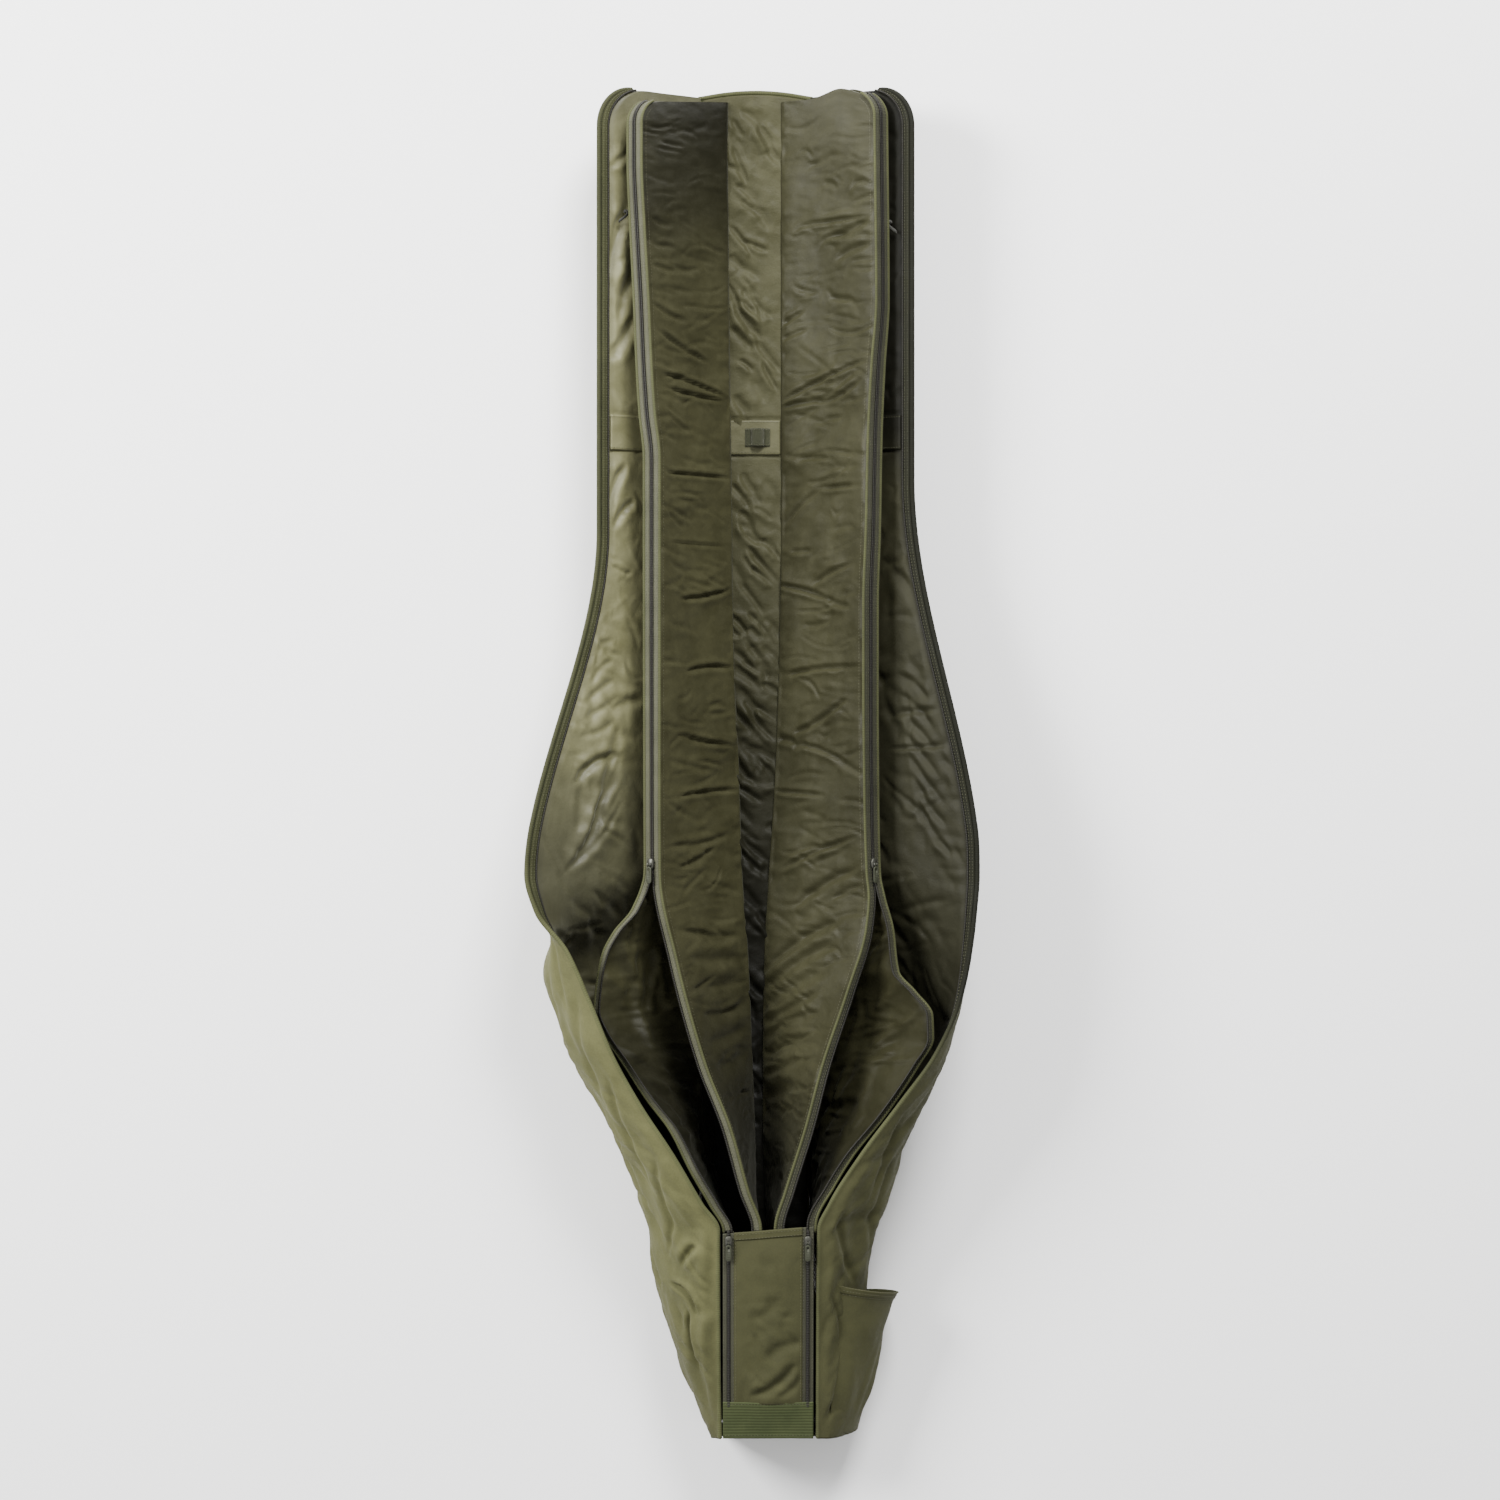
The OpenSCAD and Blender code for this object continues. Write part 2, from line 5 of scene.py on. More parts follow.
import bpy
import numpy as np
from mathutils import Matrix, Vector


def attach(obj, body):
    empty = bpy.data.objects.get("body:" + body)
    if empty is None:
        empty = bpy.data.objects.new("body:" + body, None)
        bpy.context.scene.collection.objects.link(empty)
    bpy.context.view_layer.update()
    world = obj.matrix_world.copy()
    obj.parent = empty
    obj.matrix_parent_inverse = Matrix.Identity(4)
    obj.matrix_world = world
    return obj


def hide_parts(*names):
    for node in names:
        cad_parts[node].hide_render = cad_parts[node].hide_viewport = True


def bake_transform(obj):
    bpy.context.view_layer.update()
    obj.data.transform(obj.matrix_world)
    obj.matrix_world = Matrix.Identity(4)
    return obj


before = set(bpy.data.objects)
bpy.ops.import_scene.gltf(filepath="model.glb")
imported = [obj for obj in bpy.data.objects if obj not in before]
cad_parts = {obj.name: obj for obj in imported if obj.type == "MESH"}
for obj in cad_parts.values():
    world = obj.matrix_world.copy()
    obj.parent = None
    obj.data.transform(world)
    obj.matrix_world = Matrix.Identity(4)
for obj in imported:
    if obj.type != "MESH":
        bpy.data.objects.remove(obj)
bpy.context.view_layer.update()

MM = 0.001
TIP, BUTT, SPLIT, MOUTH = 975, -970, -156, -665  # places along the bag, in millimetres
SIDE = (-1, 1)
NAMES = ("left", "right")
WALL_X = (-76, 90)
WALL_LEAN = math.radians(38)
SLEEVE_X = (-31, 44)
SLEEVE_LEAN = (math.radians(58), math.radians(50))
SLEEVE_D = 185
FRONT_ZIP_X = (-31.5, 81.5)
ZIP_PITCH, STITCH_PITCH = 2.5, 4.6


# ---- numbers and grids ---------------------------------------------------------------


def smooth(t):
    """0 to 1 with level ends."""
    t = np.clip(t, 0, 1)
    return t * t * (3 - 2 * t)


def step(x, a, b):
    """0 before a, 1 after b, smooth between."""
    return smooth((np.asarray(x, float) - a) / (b - a))


def mix(a, b, t):
    """a where t is 0, b where t is 1."""
    return a + (b - a) * t


def track(rows):
    """A smooth curve through rows of (y, value, ...), as a function that returns the values at y."""
    t = np.array(sorted(rows), float)
    x = t[:, 0]
    h = np.diff(x)

    def column(v, y):
        """One value at y, as a cubic that does not overshoot its rows."""
        d = np.diff(v) / h
        m = np.zeros_like(v)
        w1, w2 = 2 * h[1:] + h[:-1], h[1:] + 2 * h[:-1]
        same = d[:-1] * d[1:] > 0
        a, b = np.where(same, d[:-1], 1), np.where(same, d[1:], 1)
        m[1:-1] = np.where(same, (w1 + w2) / (w1 / a + w2 / b), 0)
        m[0], m[-1] = d[0], d[-1]
        y = np.clip(y, x[0], x[-1])
        i = np.clip(np.searchsorted(x, y) - 1, 0, len(h) - 1)
        s = (y - x[i]) / h[i]
        s2, s3 = s * s, s * s * s
        return ((2 * s3 - 3 * s2 + 1) * v[i] + (s3 - 2 * s2 + s) * h[i] * m[i]
                + (3 * s2 - 2 * s3) * v[i + 1] + (s3 - s2) * h[i] * m[i + 1])

    return lambda y: [column(t[:, c], np.asarray(y, float)) for c in range(1, t.shape[1])]


def unit(v):
    """Vectors at length 1, along the last axis."""
    return v / (np.linalg.norm(v, axis=-1, keepdims=True) + 1e-9)


def lengths(P, axis=0):
    """Length along rows of points, from the first one."""
    d = np.linalg.norm(np.diff(P, axis=axis), axis=-1)
    return np.concatenate([np.zeros_like(np.take(d, [0], axis=axis)), np.cumsum(d, axis=axis)], axis=axis)


def sample(t, s, P):
    """Points at the lengths t of a line of points P, whose own lengths are s."""
    return np.stack([np.interp(t, s, P[:, c]) for c in range(P.shape[1])], -1)


def noise(u, v, seed, octaves=3):
    """Smooth value noise around 0, with features about 1 across."""
    total, amp = 0.0, 1.0
    for o in range(octaves):
        r = np.random.default_rng(seed + 101 * o).random((96, 96)) - 0.5
        x, y = u * 2**o + 7.3 * o, v * 2**o + 3.1 * o
        i, j = np.floor(x).astype(int), np.floor(y).astype(int)
        a, b = smooth(x - i), smooth(y - j)
        i0, i1, j0, j1 = i % 96, (i + 1) % 96, j % 96, (j + 1) % 96
        total = total + amp * mix(mix(r[i0, j0], r[i1, j0], a), mix(r[i0, j1], r[i1, j1], a), b)
        amp *= 0.5
    return total


def crease(out, S, ys, x0, y0, x1, y1, depth, width, bend=0.0):
    """Adds a soft valley with raised shoulders from (x0, y0) to (x1, y1) on a panel, all in mm."""
    dx, dy = x1 - x0, y1 - y0
    ll = math.hypot(dx, dy)
    pad = 5 * width + 0.2 * ll + abs(bend)
    rows = np.where((ys > min(y0, y1) - pad) & (ys < max(y0, y1) + pad))[0]
    if not len(rows):
        return
    r = slice(rows[0], rows[-1] + 1)
    X, Y = S[r], ys[r, None]
    a = ((X - x0) * dx + (Y - y0) * dy) / ll**2
    d = ((X - x0) * dy - (Y - y0) * dx) / ll + bend * np.sin(np.pi * np.clip(a, 0, 1))
    falloff = step(a, -0.12, 0.18) * (1 - step(a, 0.75, 1.12))
    w = width * (0.6 + 0.4 * falloff)
    near, far = (d - 2.1 * w) / (1.5 * w), (d + 2.3 * w) / (1.7 * w)
    out[r] += depth * falloff * (-np.exp(-((d / w) ** 2)) + 0.55 * np.exp(-(near**2)) + 0.35 * np.exp(-(far**2)))


def creases(out, S, ys, rows):
    """Adds one crease for each row of crease values."""
    for row in rows:
        crease(out, S, ys, *row)


def scatter(out, S, ys, n, seed, span, y0, y1, long, deep, wide, tilt, turned=0.0):
    """Adds n small creases at random places, each about turned from straight across the panel."""
    rng = np.random.default_rng(seed)
    for _ in range(n):
        x, y, ll = rng.uniform(*span), rng.uniform(y0, y1), rng.uniform(*long)
        a = turned + rng.normal(0, tilt)
        k = rng.beta(1.5, 3)
        crease(out, S, ys, x, y, x + ll * math.cos(a), y + ll * math.sin(a), mix(*deep, k),
               mix(*wide, rng.random()), rng.normal(0, 4))


def pucker(S, Y, seed, wave=13, reach=16, depth=1.0):
    """Small gathers that run in from a seam at S = 0."""
    n = noise(Y / wave, S / 60, seed, 2)
    return depth * 2.2 * n * np.exp(-S / reach)


def normals(P, side):
    """Unit normals of a grid whose rows run out from the seam, towards the inside of the bag."""
    return unit(np.cross(np.gradient(P, axis=1), np.gradient(P, axis=0)) * side)


# ---- meshes --------------------------------------------------------------------------


def shell(A, B):
    """A closed sheet between two grids of points: (vertices, faces, uv)."""
    nt, ns = A.shape[:2]
    n = nt * ns
    idx = np.arange(n).reshape(nt, ns)
    q = np.stack([idx[:-1, :-1], idx[:-1, 1:], idx[1:, 1:], idx[1:, :-1]], -1).reshape(-1, 4)
    ring = np.concatenate([idx[0], idx[1:, -1], idx[-1, -2::-1], idx[-2:0:-1, 0]])
    nxt = np.roll(ring, -1)
    side = np.stack([nxt, ring, ring + n, nxt + n], 1)
    faces = np.concatenate([q, q[:, ::-1] + n, side])
    verts = np.concatenate([A.reshape(-1, 3), B.reshape(-1, 3)])
    p0, p1, p2, p3 = (verts[faces[:, i]] for i in range(4))
    volume = (np.cross(p0, p1) * p2).sum() + (np.cross(p0, p2) * p3).sum()
    if volume < 0:
        faces = faces[:, ::-1]
    uv = np.stack([lengths(A, 1), lengths(A)], -1).reshape(-1, 2)
    return verts, faces, np.concatenate([uv, uv]) * MM


def tube(path, r, sides=10, flat=1.0, up=(0, 0, 1)):
    """A closed round cord along a path, flattened along up."""
    path = np.asarray(path, float)
    n = len(path)
    T = unit(np.gradient(path, axis=0))
    a = unit(np.cross(T, np.broadcast_to(np.asarray(up, float), path.shape)))
    b = np.cross(a, T)
    r = np.broadcast_to(np.asarray(r, float), n)
    ang = np.arange(sides) * 2 * np.pi / sides
    ring = np.cos(ang)[None, :, None] * a[:, None] + flat * np.sin(ang)[None, :, None] * b[:, None]
    body = path[:, None] + r[:, None, None] * ring
    ends = [path[0] - T[0] * r[0] * 0.5, path[-1] + T[-1] * r[-1] * 0.5]
    small = [ends[0] + 0.6 * r[0] * ring[0], ends[1] + 0.6 * r[-1] * ring[-1]]
    body = np.concatenate([[small[0]], body, [small[1]]])
    nt = len(body)
    idx = np.arange(nt * sides).reshape(nt, sides)
    nx = np.roll(idx, -1, axis=1)
    q = np.stack([idx[:-1], idx[1:], nx[1:], nx[:-1]], -1).reshape(-1, 4)
    verts = np.concatenate([body.reshape(-1, 3), ends])
    c0, c1 = nt * sides, nt * sides + 1
    cap0 = np.stack([np.full(sides, c0), idx[0], nx[0]], 1)
    cap1 = np.stack([np.full(sides, c1), nx[-1], idx[-1]], 1)
    run = lengths(body[:, 0])
    girth = np.arange(sides) * 2 * np.pi * 2.5 / sides
    uv = np.stack(np.broadcast_arrays(girth[None], run[:, None]), -1)
    uv = np.concatenate([uv.reshape(-1, 2), [[0, 0], [0, run[-1]]]]) * MM
    return verts, [q, np.concatenate([cap0, cap1])], uv


def repeat(path, up, pitch, verts, faces):
    """Copies of a small solid along a path: its x is across, y along and z up."""
    path = np.asarray(path, float)
    up = np.broadcast_to(np.asarray(up, float), path.shape)
    s = lengths(path)
    at = np.arange(0.5 * pitch, s[-1], pitch)
    P = sample(at, s, path)
    T = unit(sample(at + 1, s, path) - sample(at - 1, s, path))
    X = unit(np.cross(T, sample(at, s, up)))
    axes = np.stack([X, T, np.cross(X, T)], 1)
    v = np.asarray(verts, float)
    out = P[:, None] + v @ axes
    n = len(at)
    offs = (np.arange(n) * len(v))[:, None, None]
    fs = [(np.asarray(f)[None] + offs).reshape(-1, len(f[0])) for f in faces]
    return out.reshape(-1, 3), fs, np.zeros((n * len(v), 2))


def prism(profile, length):
    """A short bar along y with that (x, z) profile, as vertices and faces."""
    n = len(profile)
    v = [(x, y, z) for y in (-length / 2, length / 2) for x, z in profile]
    quads = [(i, (i + 1) % n, n + (i + 1) % n, n + i) for i in range(n)]
    caps = [(0, i + 1, i) for i in range(1, n - 1)]
    caps += [(n, n + i, n + i + 1) for i in range(1, n - 1)]
    return v, [[q[::-1] for q in quads], [c[::-1] for c in caps]]


TOOTH = prism([(-2.5, 0), (-2.3, 1.2), (-1.3, 1.9), (1.3, 1.9), (2.3, 1.2), (2.5, 0)], 1.35)
HALF_TOOTH = prism([(-1.6, 0), (-1.4, 1.2), (-0.6, 1.8), (0.6, 1.8), (1.5, 1.1), (1.7, 0)], 1.35)
STITCH = ([(0, -1.7, -0.15), (0, 1.7, -0.15), (-0.33, 0, 0), (0.33, 0, 0), (0, 0, 0.42), (0, 0, -0.3)],
          [[(0, 3, 4), (0, 4, 2), (0, 2, 5), (0, 5, 3), (1, 4, 3), (1, 2, 4), (1, 5, 2), (1, 3, 5)]])


def joined(parts):
    """Several (vertices, faces, uv) as one."""
    vs, fs, uvs, o = [], [], [], 0
    for v, f, uv in parts:
        vs.append(v)
        uvs.append(uv)
        fs += [x + o for x in (f if isinstance(f, list) else [f])]
        o += len(v)
    return np.concatenate(vs), fs, np.concatenate(uvs)


def piece(name, geo, material):
    """A mesh object from (vertices in mm, faces, uv in metres)."""
    v, f, uv = geo
    fs = [np.asarray(x) for x in (f if isinstance(f, list) else [f])]
    loops = np.concatenate([x.ravel() for x in fs]).astype(np.int32)
    sizes = np.concatenate([np.full(len(x), x.shape[1]) for x in fs])
    starts = np.concatenate([[0], np.cumsum(sizes)[:-1]]).astype(np.int32)
    me = bpy.data.meshes.new(name)
    me.vertices.add(len(v))
    me.vertices.foreach_set("co", (np.asarray(v) * MM).astype(np.float32).ravel())
    me.loops.add(len(loops))
    me.loops.foreach_set("vertex_index", loops)
    me.polygons.add(len(starts))
    me.polygons.foreach_set("loop_start", starts)
    layer = me.uv_layers.new(name="UVMap")
    me.update(calc_edges=True)
    layer.data.foreach_set("uv", np.asarray(uv)[loops].astype(np.float32).ravel())
    me.validate()
    me.polygons.foreach_set("use_smooth", np.ones(len(starts), bool))
    me.materials.append(material)
    ob = bpy.data.objects.new(name, me)
    bpy.context.scene.collection.objects.link(ob)
    return ob


def stands_for(ob, nodes):
    """Hides the CAD nodes that the piece takes the place of, if any."""
    if nodes:
        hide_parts(*nodes)
    return ob


def rigid(body, name, geo, material, slot, *nodes):
    """A piece that rides on a body, in place of the CAD nodes named."""
    ob = piece(name, geo, material)
    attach(ob, body)
    return stands_for(ob, nodes)


def bending(body, name, geo, material, slot, *nodes):
    """A piece that stays where it is built, standing in for the CAD nodes named."""
    ob = piece(name, geo, material)
    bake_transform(ob)
    return stands_for(ob, nodes)


# ---- materials -----------------------------------------------------------------------


def sock(node, name, value):
    """Sets an unlinked input of a shader node."""
    node.inputs[name].default_value = value


class Nodes:
    """Short ways to add shader nodes to a material and link them."""

    def __init__(self, material):
        material.use_nodes = True
        self.tree = material.node_tree
        self.bsdf = self.tree.nodes["Principled BSDF"]

    def new(self, kind, **values):
        n = self.tree.nodes.new("ShaderNode" + kind)
        for name, value in values.items():
            sock(n, name.replace("_", " "), value)
        return n

    def link(self, a, b):
        self.tree.links.new(a, b)

    def maths(self, op, *values):
        n = self.new("Math")
        n.operation = op
        for i, x in enumerate(values):
            if isinstance(x, (int, float)):
                n.inputs[i].default_value = x
            else:
                self.link(x, n.inputs[i])
        return n.outputs[0]

    def cloud(self, scale, detail, source, distortion=0.0, stretch=(1, 1, 1)):
        place = self.new("Mapping", Scale=stretch)
        self.link(source, place.inputs["Vector"])
        n = self.new("TexNoise", Scale=scale, Detail=detail, Distortion=distortion)
        self.link(place.outputs[0], n.inputs["Vector"])
        return n.outputs["Fac"]

    def spread(self, value, low, high, source=(0.3, 0.7)):
        n = self.new("MapRange", From_Min=source[0], From_Max=source[1], To_Min=low, To_Max=high)
        self.link(value, n.inputs["Value"])
        return n.outputs[0]

    def ramp(self, value, stops):
        n = self.new("ValToRGB")
        for i, (at, colour) in enumerate(stops):
            e = n.color_ramp.elements[i] if i < 2 else n.color_ramp.elements.new(at)
            e.position, e.color = at, (*colour, 1)
        self.link(value, n.inputs[0])
        return n.outputs[0]

    def times(self, a, b):
        n = self.new("Mix")
        n.data_type, n.blend_type = "RGBA", "MULTIPLY"
        n.inputs[0].default_value = 1.0
        self.link(a, n.inputs[6])
        self.link(b, n.inputs[7])
        return n.outputs[2]


def fabric(name, colours, rough, weave, weave_depth, tone=1.0, sheen=0.1, grain=1.0, crinkle=0.0, ribs=False,
           spec=0.15, falloff=None):
    """Woven cloth: warp and weft as bump, uneven colour, soft sheen, optional fine crinkles.

    weave is one thread's repeat, and weave_depth and crinkle are heights, in mm. The last argument lists
    places along the bag, from the tip down, with a factor for the cloth's colour there: painted shade,
    darker where the bag lies in shade.
    """
    m = bpy.data.materials.new(name)
    n = Nodes(m)
    uv, obj = n.new("UVMap"), n.new("TexCoord").outputs["Object"]
    uv.uv_map = "UVMap"
    across = n.new("SeparateXYZ")
    n.link(uv.outputs[0], across.inputs[0])
    k = 2 * math.pi / (weave * MM)
    weft = n.maths("SINE", n.maths("MULTIPLY", across.outputs[1], k * 0.5 if ribs else k))
    cloth = weft
    if not ribs:
        warp = n.maths("SINE", n.maths("MULTIPLY", across.outputs[0], k))
        cloth = n.maths("MULTIPLY", warp, weft)
    broad, wear = n.cloud(9.0, 3.0, obj), n.cloud(38.0, 5.0, obj, 0.6)
    fine = n.cloud(420.0, 2.0, obj)
    mottle = n.maths("ADD", n.maths("MULTIPLY", broad, 0.42), n.maths("MULTIPLY", wear, 0.34))
    mottle = n.maths("ADD", mottle, n.maths("MULTIPLY", fine, 0.24 * grain))
    dark, light = ([c * tone for c in colour] for colour in colours)
    colour = n.times(n.ramp(mottle, ((0.32, dark), (0.70, light))), n.spread(cloth, 0.82, 1.06, (-1, 1)))
    # painted shade: a grey ramp along the bag's length, its edge stirred by noise, darkens the colour
    if falloff:
        place = n.new("SeparateXYZ")
        n.link(obj, place.inputs[0])
        t = n.maths("MULTIPLY", n.maths("SUBTRACT", TIP * MM, place.outputs[1]), 1 / ((TIP - BUTT) * MM))
        t = n.maths("ADD", t, n.maths("MULTIPLY", n.maths("SUBTRACT", broad, 0.5), 0.05))
        colour = n.times(colour, n.ramp(t, [((TIP - y) / (TIP - BUTT), (v, v, v)) for y, v in falloff]))
    n.link(colour, n.bsdf.inputs["Base Color"])
    n.link(n.spread(wear, rough - 0.06, rough + 0.07), n.bsdf.inputs["Roughness"])
    height = n.maths("MULTIPLY", cloth, weave_depth * MM)
    if crinkle:
        fold = n.cloud(70.0, 4.0, obj, 1.4, (1, 1.6, 1))
        height = n.maths("ADD", height, n.maths("MULTIPLY", fold, crinkle * MM))
    bump = n.new("Bump", Strength=1.0, Distance=1.0)
    n.link(height, bump.inputs["Height"])
    n.link(bump.outputs[0], n.bsdf.inputs["Normal"])
    sock(n.bsdf, "Sheen Weight", sheen * tone)
    sock(n.bsdf, "Sheen Roughness", 0.45)
    sock(n.bsdf, "Sheen Tint", (0.86, 0.86, 0.72, 1))
    sock(n.bsdf, "Specular IOR Level", spec)
    return m


def plain(name, colour, rough, metal=0.0, spec=0.5, grime=0.15):
    """Moulded plastic or painted metal, with faint uneven gloss and colour."""
    m = bpy.data.materials.new(name)
    n = Nodes(m)
    speckle = n.new("TexNoise", Scale=260.0, Detail=4.0)
    n.link(n.new("TexCoord").outputs["Object"], speckle.inputs["Vector"])
    fac = speckle.outputs["Fac"]
    stops = [(i, [c * (1 + side * grime) for c in colour]) for i, side in enumerate(SIDE)]
    n.link(n.ramp(fac, stops), n.bsdf.inputs["Base Color"])
    n.link(n.spread(fac, rough - 0.05, rough + 0.08), n.bsdf.inputs["Roughness"])
    sock(n.bsdf, "Metallic", metal)
    sock(n.bsdf, "Specular IOR Level", spec)
    return m


# Each cloth's dark and light colour. A piece's tone scales both; where the left and right copies of a cloth,
# or the four dividers, differ in tone, the difference is painted light and shade.
OLIVE = ((0.120, 0.121, 0.049), (0.203, 0.203, 0.087))
SATIN = ((0.112, 0.109, 0.050), (0.215, 0.210, 0.112))
NYLON = ((0.052, 0.050, 0.022), (0.100, 0.097, 0.046))
TRIMS = ((0.086, 0.092, 0.036), (0.148, 0.156, 0.068))
GREYS = ((0.060, 0.061, 0.038), (0.105, 0.106, 0.070))
GREEN = ((0.058, 0.074, 0.026), (0.104, 0.124, 0.048))
PLUSH = ((0.050, 0.054, 0.024), (0.100, 0.104, 0.052))
COTTON = ((0.150, 0.150, 0.080), (0.230, 0.226, 0.130))
BLACK = ((0.012, 0.012, 0.010), (0.026, 0.026, 0.022))


def canvas(name, tone, falloff=None):
    """Coarse outer canvas."""
    return fabric(name, OLIVE, 0.8, 1.1, 0.05, tone=tone, sheen=0.06, falloff=falloff)


def satin(name, tone, rough, spec, crinkle=0.35, falloff=None):
    """Smooth, slightly shiny lining."""
    return fabric(name, SATIN, rough, 0.6, 0.012, tone=tone, sheen=0.15, grain=0.4, crinkle=crinkle,
                  spec=spec, falloff=falloff)


def nylon(name, tone, spec=0.16, falloff=None):
    """Fine nylon of the dividers."""
    return fabric(name, NYLON, 0.50, 0.7, 0.02, tone=tone, sheen=0.06, grain=0.5, crinkle=0.22, spec=spec,
                  falloff=falloff)


def trim(name, tone, falloff=None):
    """Ribbed binding and piping."""
    return fabric(name, TRIMS, 0.75, 1.6, 0.10, tone=tone, ribs=True, falloff=falloff)


def tape(name, tone):
    """Zip tape."""
    return fabric(name, GREYS, 0.8, 1.0, 0.06, tone=tone, sheen=0.08)


# Painted light and shade: one canvas, lighter on the lit left wall and darker on the shaded right wall, with
# painted shade towards the butt on the left.
SIDES = (canvas("canvas_left_lit", 0.54, ((975, 1), (-620, 1), (-800, 0.78), (-970, 0.6))),
         canvas("canvas_right_shaded", 0.26))
CANVAS = canvas("canvas_strip", 0.24)
POCKET = canvas("canvas_pocket", 0.27)
# Painted light and shade: one satin lining, lighter in the lit left compartment and far darker in the shaded
# right one, each darkened by painted shade at the tip and towards the butt.
LININGS = (
    satin("satin_left_lit", 1.02, 0.5, 0.3, falloff=(
        (975, 0.4), (930, 0.5), (870, 0.9), (740, 0.8), (640, 1), (60, 0.9), (-30, 0.5), (-130, 0.32),
        (-300, 0.28), (-420, 0.16), (-600, 0.1))),
    satin("satin_right_shaded", 0.13, 0.6, 0.12, falloff=(
        (975, 0.2), (500, 0.24), (380, 1), (150, 0.9), (-250, 0.75), (-420, 0.4), (-600, 0.2))))
# The trough's satin, darkened towards the butt by painted shade.
LINING = satin("satin_trough", 0.30, 0.55, 0.1, 0.5, (
    (975, 0.9), (470, 1), (200, 0.7), (0, 0.34), (-200, 0.12), (-400, 0.06)))
FLOOR = nylon("nylon_floor", 0.10, 0.05)
PATCH = satin("satin_patch", 0.46, 0.5, 0.2, 0.4)
# Painted light and shade: one nylon for all four divider panels, in tones set by how each panel is lit, each
# darkened towards the butt by painted shade, the left inner one also at the tip, and the left outer one left
# lighter near y = -290 mm.
DIVIDERS = (
    nylon("nylon_a", 0.54, falloff=(
        (975, 0.72), (-200, 0.75), (-290, 1), (-380, 0.5), (-480, 0.26), (-640, 0.12))),
    nylon("nylon_b", 0.54, falloff=(
        (975, 0.2), (800, 0.42), (640, 0.92), (400, 1), (-250, 1), (-420, 0.5), (-540, 0.2))),
    nylon("nylon_c", 0.36, falloff=(
        (975, 1), (100, 1), (-60, 0.85), (-260, 1), (-440, 1), (-560, 0.5), (-640, 0.25))),
    nylon("nylon_d", 0.30, 0.08, falloff=((975, 1), (-350, 1), (-500, 0.7), (-620, 0.3))))
# Painted light and shade: the rims' zip tapes and the pipings each come as a lighter copy for the lit left
# and a darker one for the shaded right, and the pipings are darkened over their tip end by painted shade.
RIMS = (trim("rim_left_lit", 0.28), trim("rim_right_shaded", 0.06))
PIPES = (trim("piping_left_lit", 0.56, ((975, 0.45), (-100, 0.45), (-260, 1), (-970, 1))),
         trim("piping_right_shaded", 0.42, ((975, 0.1), (-320, 0.1), (-500, 1), (-970, 1))))
TRIM = trim("binding", 0.40)
WEB = fabric("webbing", GREEN, 0.75, 2.2, 0.16, tone=0.46, ribs=True)
# Painted light and shade: one zip tape, a lighter copy for the lit left sleeve and a darker one for the
# shaded right.
BANDS = (tape("sleeve_tape_left_lit", 0.78), tape("sleeve_tape_right_shaded", 0.38))
TAPE = tape("zip_tape", 0.42)
PILE = fabric("pile", PLUSH, 0.95, 1.3, 0.25, tone=0.4, sheen=0.4, spec=0.3)
THREAD = fabric("thread", COTTON, 0.6, 0.5, 0.02, tone=0.42, sheen=0.25, spec=0.3)
DARK = fabric("dark_loop", BLACK, 0.6, 0.9, 0.05, sheen=0.25, spec=0.3)
COIL = plain("coil", (0.012, 0.011, 0.008), 0.5, spec=0.25)
METAL = plain("slider", (0.060, 0.060, 0.050), 0.4, metal=0.7, spec=0.3)
PULL = plain("pull", (0.030, 0.032, 0.020), 0.55, spec=0.2)


# ---- the side walls ------------------------------------------------------------------

BUTT_SIDE = (
    ((-156, -76, -321, -321, 199, 0), (-212, -76, -324, -306, 206, 0.3), (-268, -76, -322, -262, 210, 0.7),
     (-340, -76, -278, -229, 211, 1), (-412, -76, -252, -199, 209, 1), (-485, -76, -218, -159, 204, 1),
     (-557, -76, -184, -112, 197, 1), (-629, -76, -156, -70, 186, 1), (-665, -76, -146, -47, 179, 1),
     (-773, -74, -128, -47, 160, 1), (-870, -64, -98, -47, 143, 1), (-970, -50, -54, -47, 126, 1)),
    ((-156, 90, 325, 325, 191, 0), (-212, 90, 324, 321, 197, 0.2), (-281, 90, 320, 312, 203, 0.4),
     (-340, 90, 309, 298, 207, 0.6), (-412, 90, 284, 265, 211, 0.8), (-485, 90, 240, 212, 208, 1),
     (-557, 90, 213, 158, 200, 1), (-629, 90, 195, 113, 188, 1), (-665, 92, 182, 98, 179, 1),
     (-773, 100, 166, 97, 160, 1), (-870, 118, 162, 97, 143, 1), (-970, 138, 152, 97, 126, 1)))


def stations(top, corner, pitch=3.0):
    """Places along the bag from a rounded corner at the tip down to the butt end."""
    a = np.linspace(0, math.pi / 2, 22)
    y = top - corner + corner * np.cos(a)
    n = int((y[-1] - BUTT) / pitch)
    return np.concatenate([y, np.linspace(y[-1], BUTT, n + 1)[1:]])


def corner_cut(y, top, r):
    """How much a rounded corner of radius r at the tip end takes off an edge."""
    return r - np.sqrt(np.maximum(r * r - np.maximum(y - (top - r), 0) ** 2, 0))


def wall_depth(k, y):
    """How far side k's wall reaches up from its seam."""
    deep, (start, ll) = ((316, 302)[k], ((335, 530), (410, 590))[k])
    return 184 + (deep - 184) * smooth((start - y) / ll) - corner_cut(y, TIP, 58)


